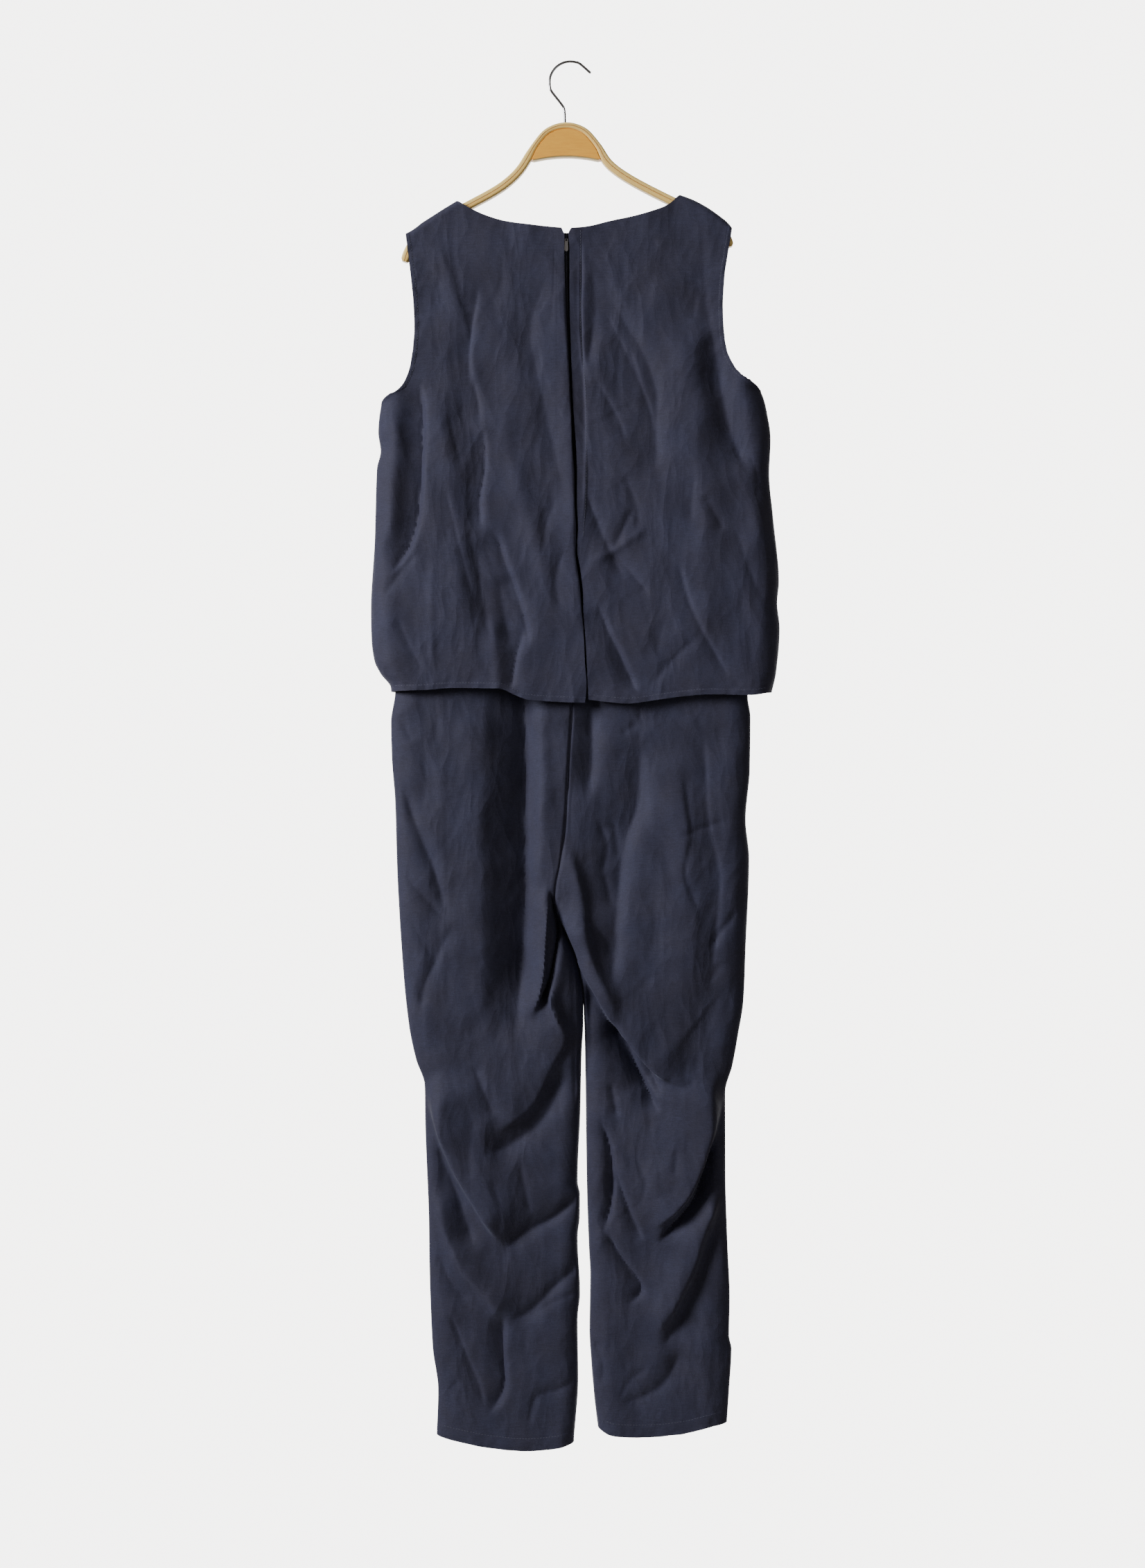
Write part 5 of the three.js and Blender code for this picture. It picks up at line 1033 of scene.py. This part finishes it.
def band_stations():
    """Places along the band's outer edge, with the direction into the wood and its thickness."""
    path = smooth_path(BAND_TOP_EDGE, 2.5)
    tangent = np.gradient(path, axis=0)
    tangent /= np.linalg.norm(tangent, axis=1, keepdims=True)
    down = np.stack((tangent[:, 1], -tangent[:, 0]), axis=-1)
    thick = mix(BAND, BAND_AT_PANEL, eased((path[:, 1] - PANEL_Z) / 18))
    return path, down, thick


def build_band():
    path, down, thick = band_stations()
    corner = [(1 - math.cos(a), 1 - math.sin(a)) for a in np.radians([90, 60, 30, 0])]
    rings = []
    for i, (place, inward, t) in enumerate(zip(path, down, thick)):
        from_end = min(i, len(path) - 1 - i) * 2.5
        shrink = 1 - 0.4 * (1 - float(rounded(from_end, 5)))
        half = t / 2
        section = []
        for sign in (-1, 1):
            up = [(BAND_CORNER * c, sign * (BAND_HALF_DEPTH - BAND_CORNER * s)) for s, c in corner]
            seam = [(half - 0.5, sign * BAND_HALF_DEPTH), (half - 0.3, sign * (BAND_HALF_DEPTH - 0.25)),
                    (half + 0.3, sign * (BAND_HALF_DEPTH - 0.25)), (half + 0.5, sign * BAND_HALF_DEPTH)]
            low = [(t - depth, y) for depth, y in reversed(up)]
            side = up + seam + low
            section += side if sign < 0 else side[::-1]
        ring = []
        for depth, y in section:
            deep = half + (depth - half) * shrink
            ring.append((place[0] + inward[0] * deep, y * shrink, place[1] + inward[1] * deep))
        rings.append(ring)
    side_count = len(rings[0]) // 2

    def ply(j):
        k = j if j < side_count else 2 * side_count - 1 - j - 1
        if j == 2 * side_count - 1:
            return 0
        if j == side_count - 1:
            return 2
        return 0 if k < 4 else 1 if k < 7 else 2

    mesh = tube_mesh("wooden_band", rings, ply)
    add_object("wooden_band", mesh, [outer_ply, glue_line, inner_ply], "hanger_band")


def build_panel():
    path, down, thick = band_stations()
    under = path + down * (thick + 0.3)[:, None]
    under = under[under[:, 1] > PANEL_Z - 4]
    first, last = under[0], under[-1]
    middle = np.array([(first[0] + last[0]) / 2, PANEL_LOW_Z])
    t = np.linspace(0, 1, 40)[1:-1, None]
    lower = (1 - t) ** 2 * last + 2 * t * (1 - t) * middle + t ** 2 * first
    outline = np.vstack((under, lower))
    count = len(outline)
    centre = outline.mean(axis=0)
    layers = ((-PANEL_HALF_DEPTH, 0.985), (-PANEL_HALF_DEPTH + 0.7, 1), (PANEL_HALF_DEPTH - 0.7, 1),
              (PANEL_HALF_DEPTH, 0.985))
    vertices = [Vector((*(centre + (p - centre) * size), y)).xzy * MM for y, size in layers for p in outline]
    faces = [tuple(range(count)), tuple(range(4 * count - 1, 3 * count - 1, -1))]
    for layer in range(3):
        for j in range(count):
            k = (j + 1) % count
            base = layer * count
            faces.append((base + k, base + j, base + count + j, base + count + k))
    mesh = bpy.data.meshes.new("wooden_panel")
    mesh.from_pydata(vertices, [], faces)
    mesh.set_sharp_from_angle(angle=math.radians(30))
    add_object("wooden_panel", mesh, panel_veneer, "hanger_panel")
    rim_path = np.vstack((last[None], lower, first[None]))[1:-1]
    rings = []
    for i, (x, z) in enumerate(rim_path):
        size = float(rounded(min(i, len(rim_path) - 1 - i) * 2 + 0.4, 4))
        ring = []
        for angle in np.linspace(0, 2 * math.pi, 12, endpoint=False):
            across, up = math.cos(angle), math.sin(angle)
            ring.append((x, across * (PANEL_HALF_DEPTH + 0.5), z - 0.6 + up * 1.1 * size))
        rings.append(ring)
    add_object("panel_rim", tube_mesh("panel_rim", rings), outer_ply)


def build_hook():
    turns = [math.radians(a) for a in range(62, 207, 12)]
    places = [(24.5, -12.6)]
    places += [(HOOK_RADIUS * math.cos(a), HOOK_CENTRE_Z + HOOK_RADIUS * math.sin(a)) for a in turns]
    places += [(-12, -48), (-8, -54), (-7, -60), (-6.6, -72.2)]
    path = smooth_path(places, 1.2)
    tangent = np.gradient(path, axis=0)
    tangent /= np.linalg.norm(tangent, axis=1, keepdims=True)
    steps = np.concatenate(([0], np.cumsum(np.linalg.norm(np.diff(path, axis=0), axis=1))))
    rings = []
    for place, (tx, tz), step in zip(path, tangent, steps):
        radius = WIRE * float(rounded(step + 0.12, 1.5))
        ring = []
        for angle in np.linspace(0, 2 * math.pi, 20, endpoint=False):
            c, s = math.cos(angle) * radius, math.sin(angle) * radius
            ring.append((place[0] - tz * c, s, place[1] + tx * c))
        rings.append(ring)
    add_object("wire_hook", tube_mesh("wire_hook", rings), hook_steel, "hanger_hook")


build_band()
build_panel()
build_hook()


# Zip

TOOTH_PITCH, TOOTH_SIZE = 1.35, (1.5, 0.75, 0.8)


def build_zip():
    """A woven tape with two rows of small coil teeth, down the centre back."""
    zs = np.arange(ZIP_TOP_Z + 6.5, ZIP_BOTTOM_Z, -4.0)
    seat = trouser_layer("back", "left", TROUSER_LEFT_CREASES)

    def stand(x, z):
        return np.where(z > WAIST_Z, bodice_height(x, z), seat(x, z)[0])

    x, z = np.meshgrid(np.linspace(-2.6, 2.6, 7), zs)
    x = x + centre_x(z)
    outer = np.stack((x, -(stand(x, z) + SEAM_HALF - 0.4), z), axis=-1)
    tape = shell_mesh("zip_tape", outer, outer + np.array([0, 0.6, 0]), -1)
    # The tape takes the bodice's darker navy, painted shade of the back opening.
    add_object("zip_tape", tape, bodice_cloth, "zip_chain")
    vertices, faces = [], []
    corners = [(sx, sy, sz) for sz in (-1, 1) for sy in (-1, 1) for sx in (-1, 1)]
    quads = ((0, 2, 3, 1), (4, 5, 7, 6), (0, 1, 5, 4), (2, 6, 7, 3), (0, 4, 6, 2), (1, 3, 7, 5))
    for i, level in enumerate(np.arange(ZIP_TOP_Z, ZIP_BOTTOM_Z + 4, -TOOTH_PITCH / 2)):
        side = 1 if i % 2 else -1
        x = float(centre_x(level)) + side * 0.55
        y = -(float(stand(np.array(x), np.array(level))) + SEAM_HALF + 0.0)
        first = len(vertices)
        for sx, sy, sz in corners:
            narrow = 0.7 if sy < 0 else 1
            offset = Vector((sx * TOOTH_SIZE[0] / 2, sy * TOOTH_SIZE[1] / 2, sz * TOOTH_SIZE[2] / 2 * narrow))
            vertices.append((Vector((x, y, level)) + offset) * MM)
        faces += [tuple(first + j for j in quad) for quad in quads]
    mesh = bpy.data.meshes.new("zip_teeth")
    mesh.from_pydata(vertices, [], faces)
    add_object("zip_teeth", mesh, navy_thread_with_ply_shade)
    for node, finish in (("zip_slider", zip_lacquer), ("zip_pull", zip_steel)):
        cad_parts[node].data.materials.clear()
        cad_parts[node].data.materials.append(finish)


build_zip()


# Studio: a floor well below the hem, a pale surround, and soft light from the upper left

CAMERA_DISTANCE, VIEW_HEIGHT_PX, SCALE_MM_PER_PX = 2.4, 2263, 0.83
CAMERA_LENS, SENSOR = 46.35, 36
CLOTH_PLANE_Y = -0.02
PICTURE_CENTRE_X, PICTURE_CENTRE_Z = 0.0025, -0.8645


def build_floor():
    count, radius, level = 64, 0.8, -2.3
    places = [(radius * math.cos(2 * math.pi * i / count), radius * math.sin(2 * math.pi * i / count), level)
              for i in range(count)]
    mesh = bpy.data.meshes.new("floor")
    mesh.from_pydata(places, [], [tuple(range(count))])
    floor = bpy.data.objects.new("floor", mesh)
    bpy.context.collection.objects.link(floor)
    material, nodes, links, shader = node_material("floor_paint")
    place = scaled(nodes, links, (1, 1, 1))
    tone = texture(nodes, links, "ShaderNodeTexNoise", place, Scale=3, Detail=2)
    links.new(colour_ramp(nodes, links, tone.outputs["Fac"], [(0.3, [0.80, 0.79, 0.78]), (0.7, [0.84, 0.83, 0.82])]),
              shader.inputs["Base Color"])
    shader.inputs["Roughness"].default_value = 0.9
    mesh.materials.append(material)


def area_light(name, place, target, size, power, colour, spread):
    light = bpy.data.lights.new(name, "AREA")
    light.shape = "RECTANGLE"
    light.size, light.size_y = size
    light.energy = power
    light.color = colour
    light.spread = math.radians(spread)
    lamp = bpy.data.objects.new(name, light)
    bpy.context.collection.objects.link(lamp)
    lamp.location = place
    lamp.rotation_euler = (Vector(target) - Vector(place)).to_track_quat("-Z", "Y").to_euler()


def build_world():
    """Pale surround, bright behind the garment and dimmer in front of it."""
    world = bpy.data.worlds.new("studio")
    bpy.context.scene.world = world
    world.use_nodes = True
    nodes, links = world.node_tree.nodes, world.node_tree.links
    coordinates = nodes.new("ShaderNodeTexCoord")
    parts = nodes.new("ShaderNodeSeparateXYZ")
    links.new(coordinates.outputs["Generated"], parts.inputs["Vector"])
    stops = [(0.0, (0.028, 0.025, 0.022)), (0.68, (0.060, 0.055, 0.050)), (0.88, (1, 0.985, 0.965))]
    links.new(colour_ramp(nodes, links, parts.outputs["Y"], stops), nodes["Background"].inputs["Color"])
    nodes["Background"].inputs["Strength"].default_value = 5.5


def build_camera():
    camera_data = bpy.data.cameras.new("camera")
    camera_data.sensor_fit = "VERTICAL"
    camera_data.sensor_height = SENSOR
    camera_data.lens = CAMERA_LENS
    camera = bpy.data.objects.new("camera", camera_data)
    bpy.context.collection.objects.link(camera)
    camera.location = (PICTURE_CENTRE_X, CLOTH_PLANE_Y - CAMERA_DISTANCE, PICTURE_CENTRE_Z)
    camera.rotation_euler = (math.radians(90), 0, 0)
    bpy.context.scene.camera = camera


build_floor()
build_world()
area_light("key", (-3.9, -2.3, 0.85), (0, 0, -0.75), (1.8, 2.2), 48, (0.985, 0.98, 1), 60)
area_light("fill", (1.8, -2.4, -0.6), (0, 0, -0.9), (1.8, 2.2), 6, (0.97, 0.98, 1), 180)
build_camera()
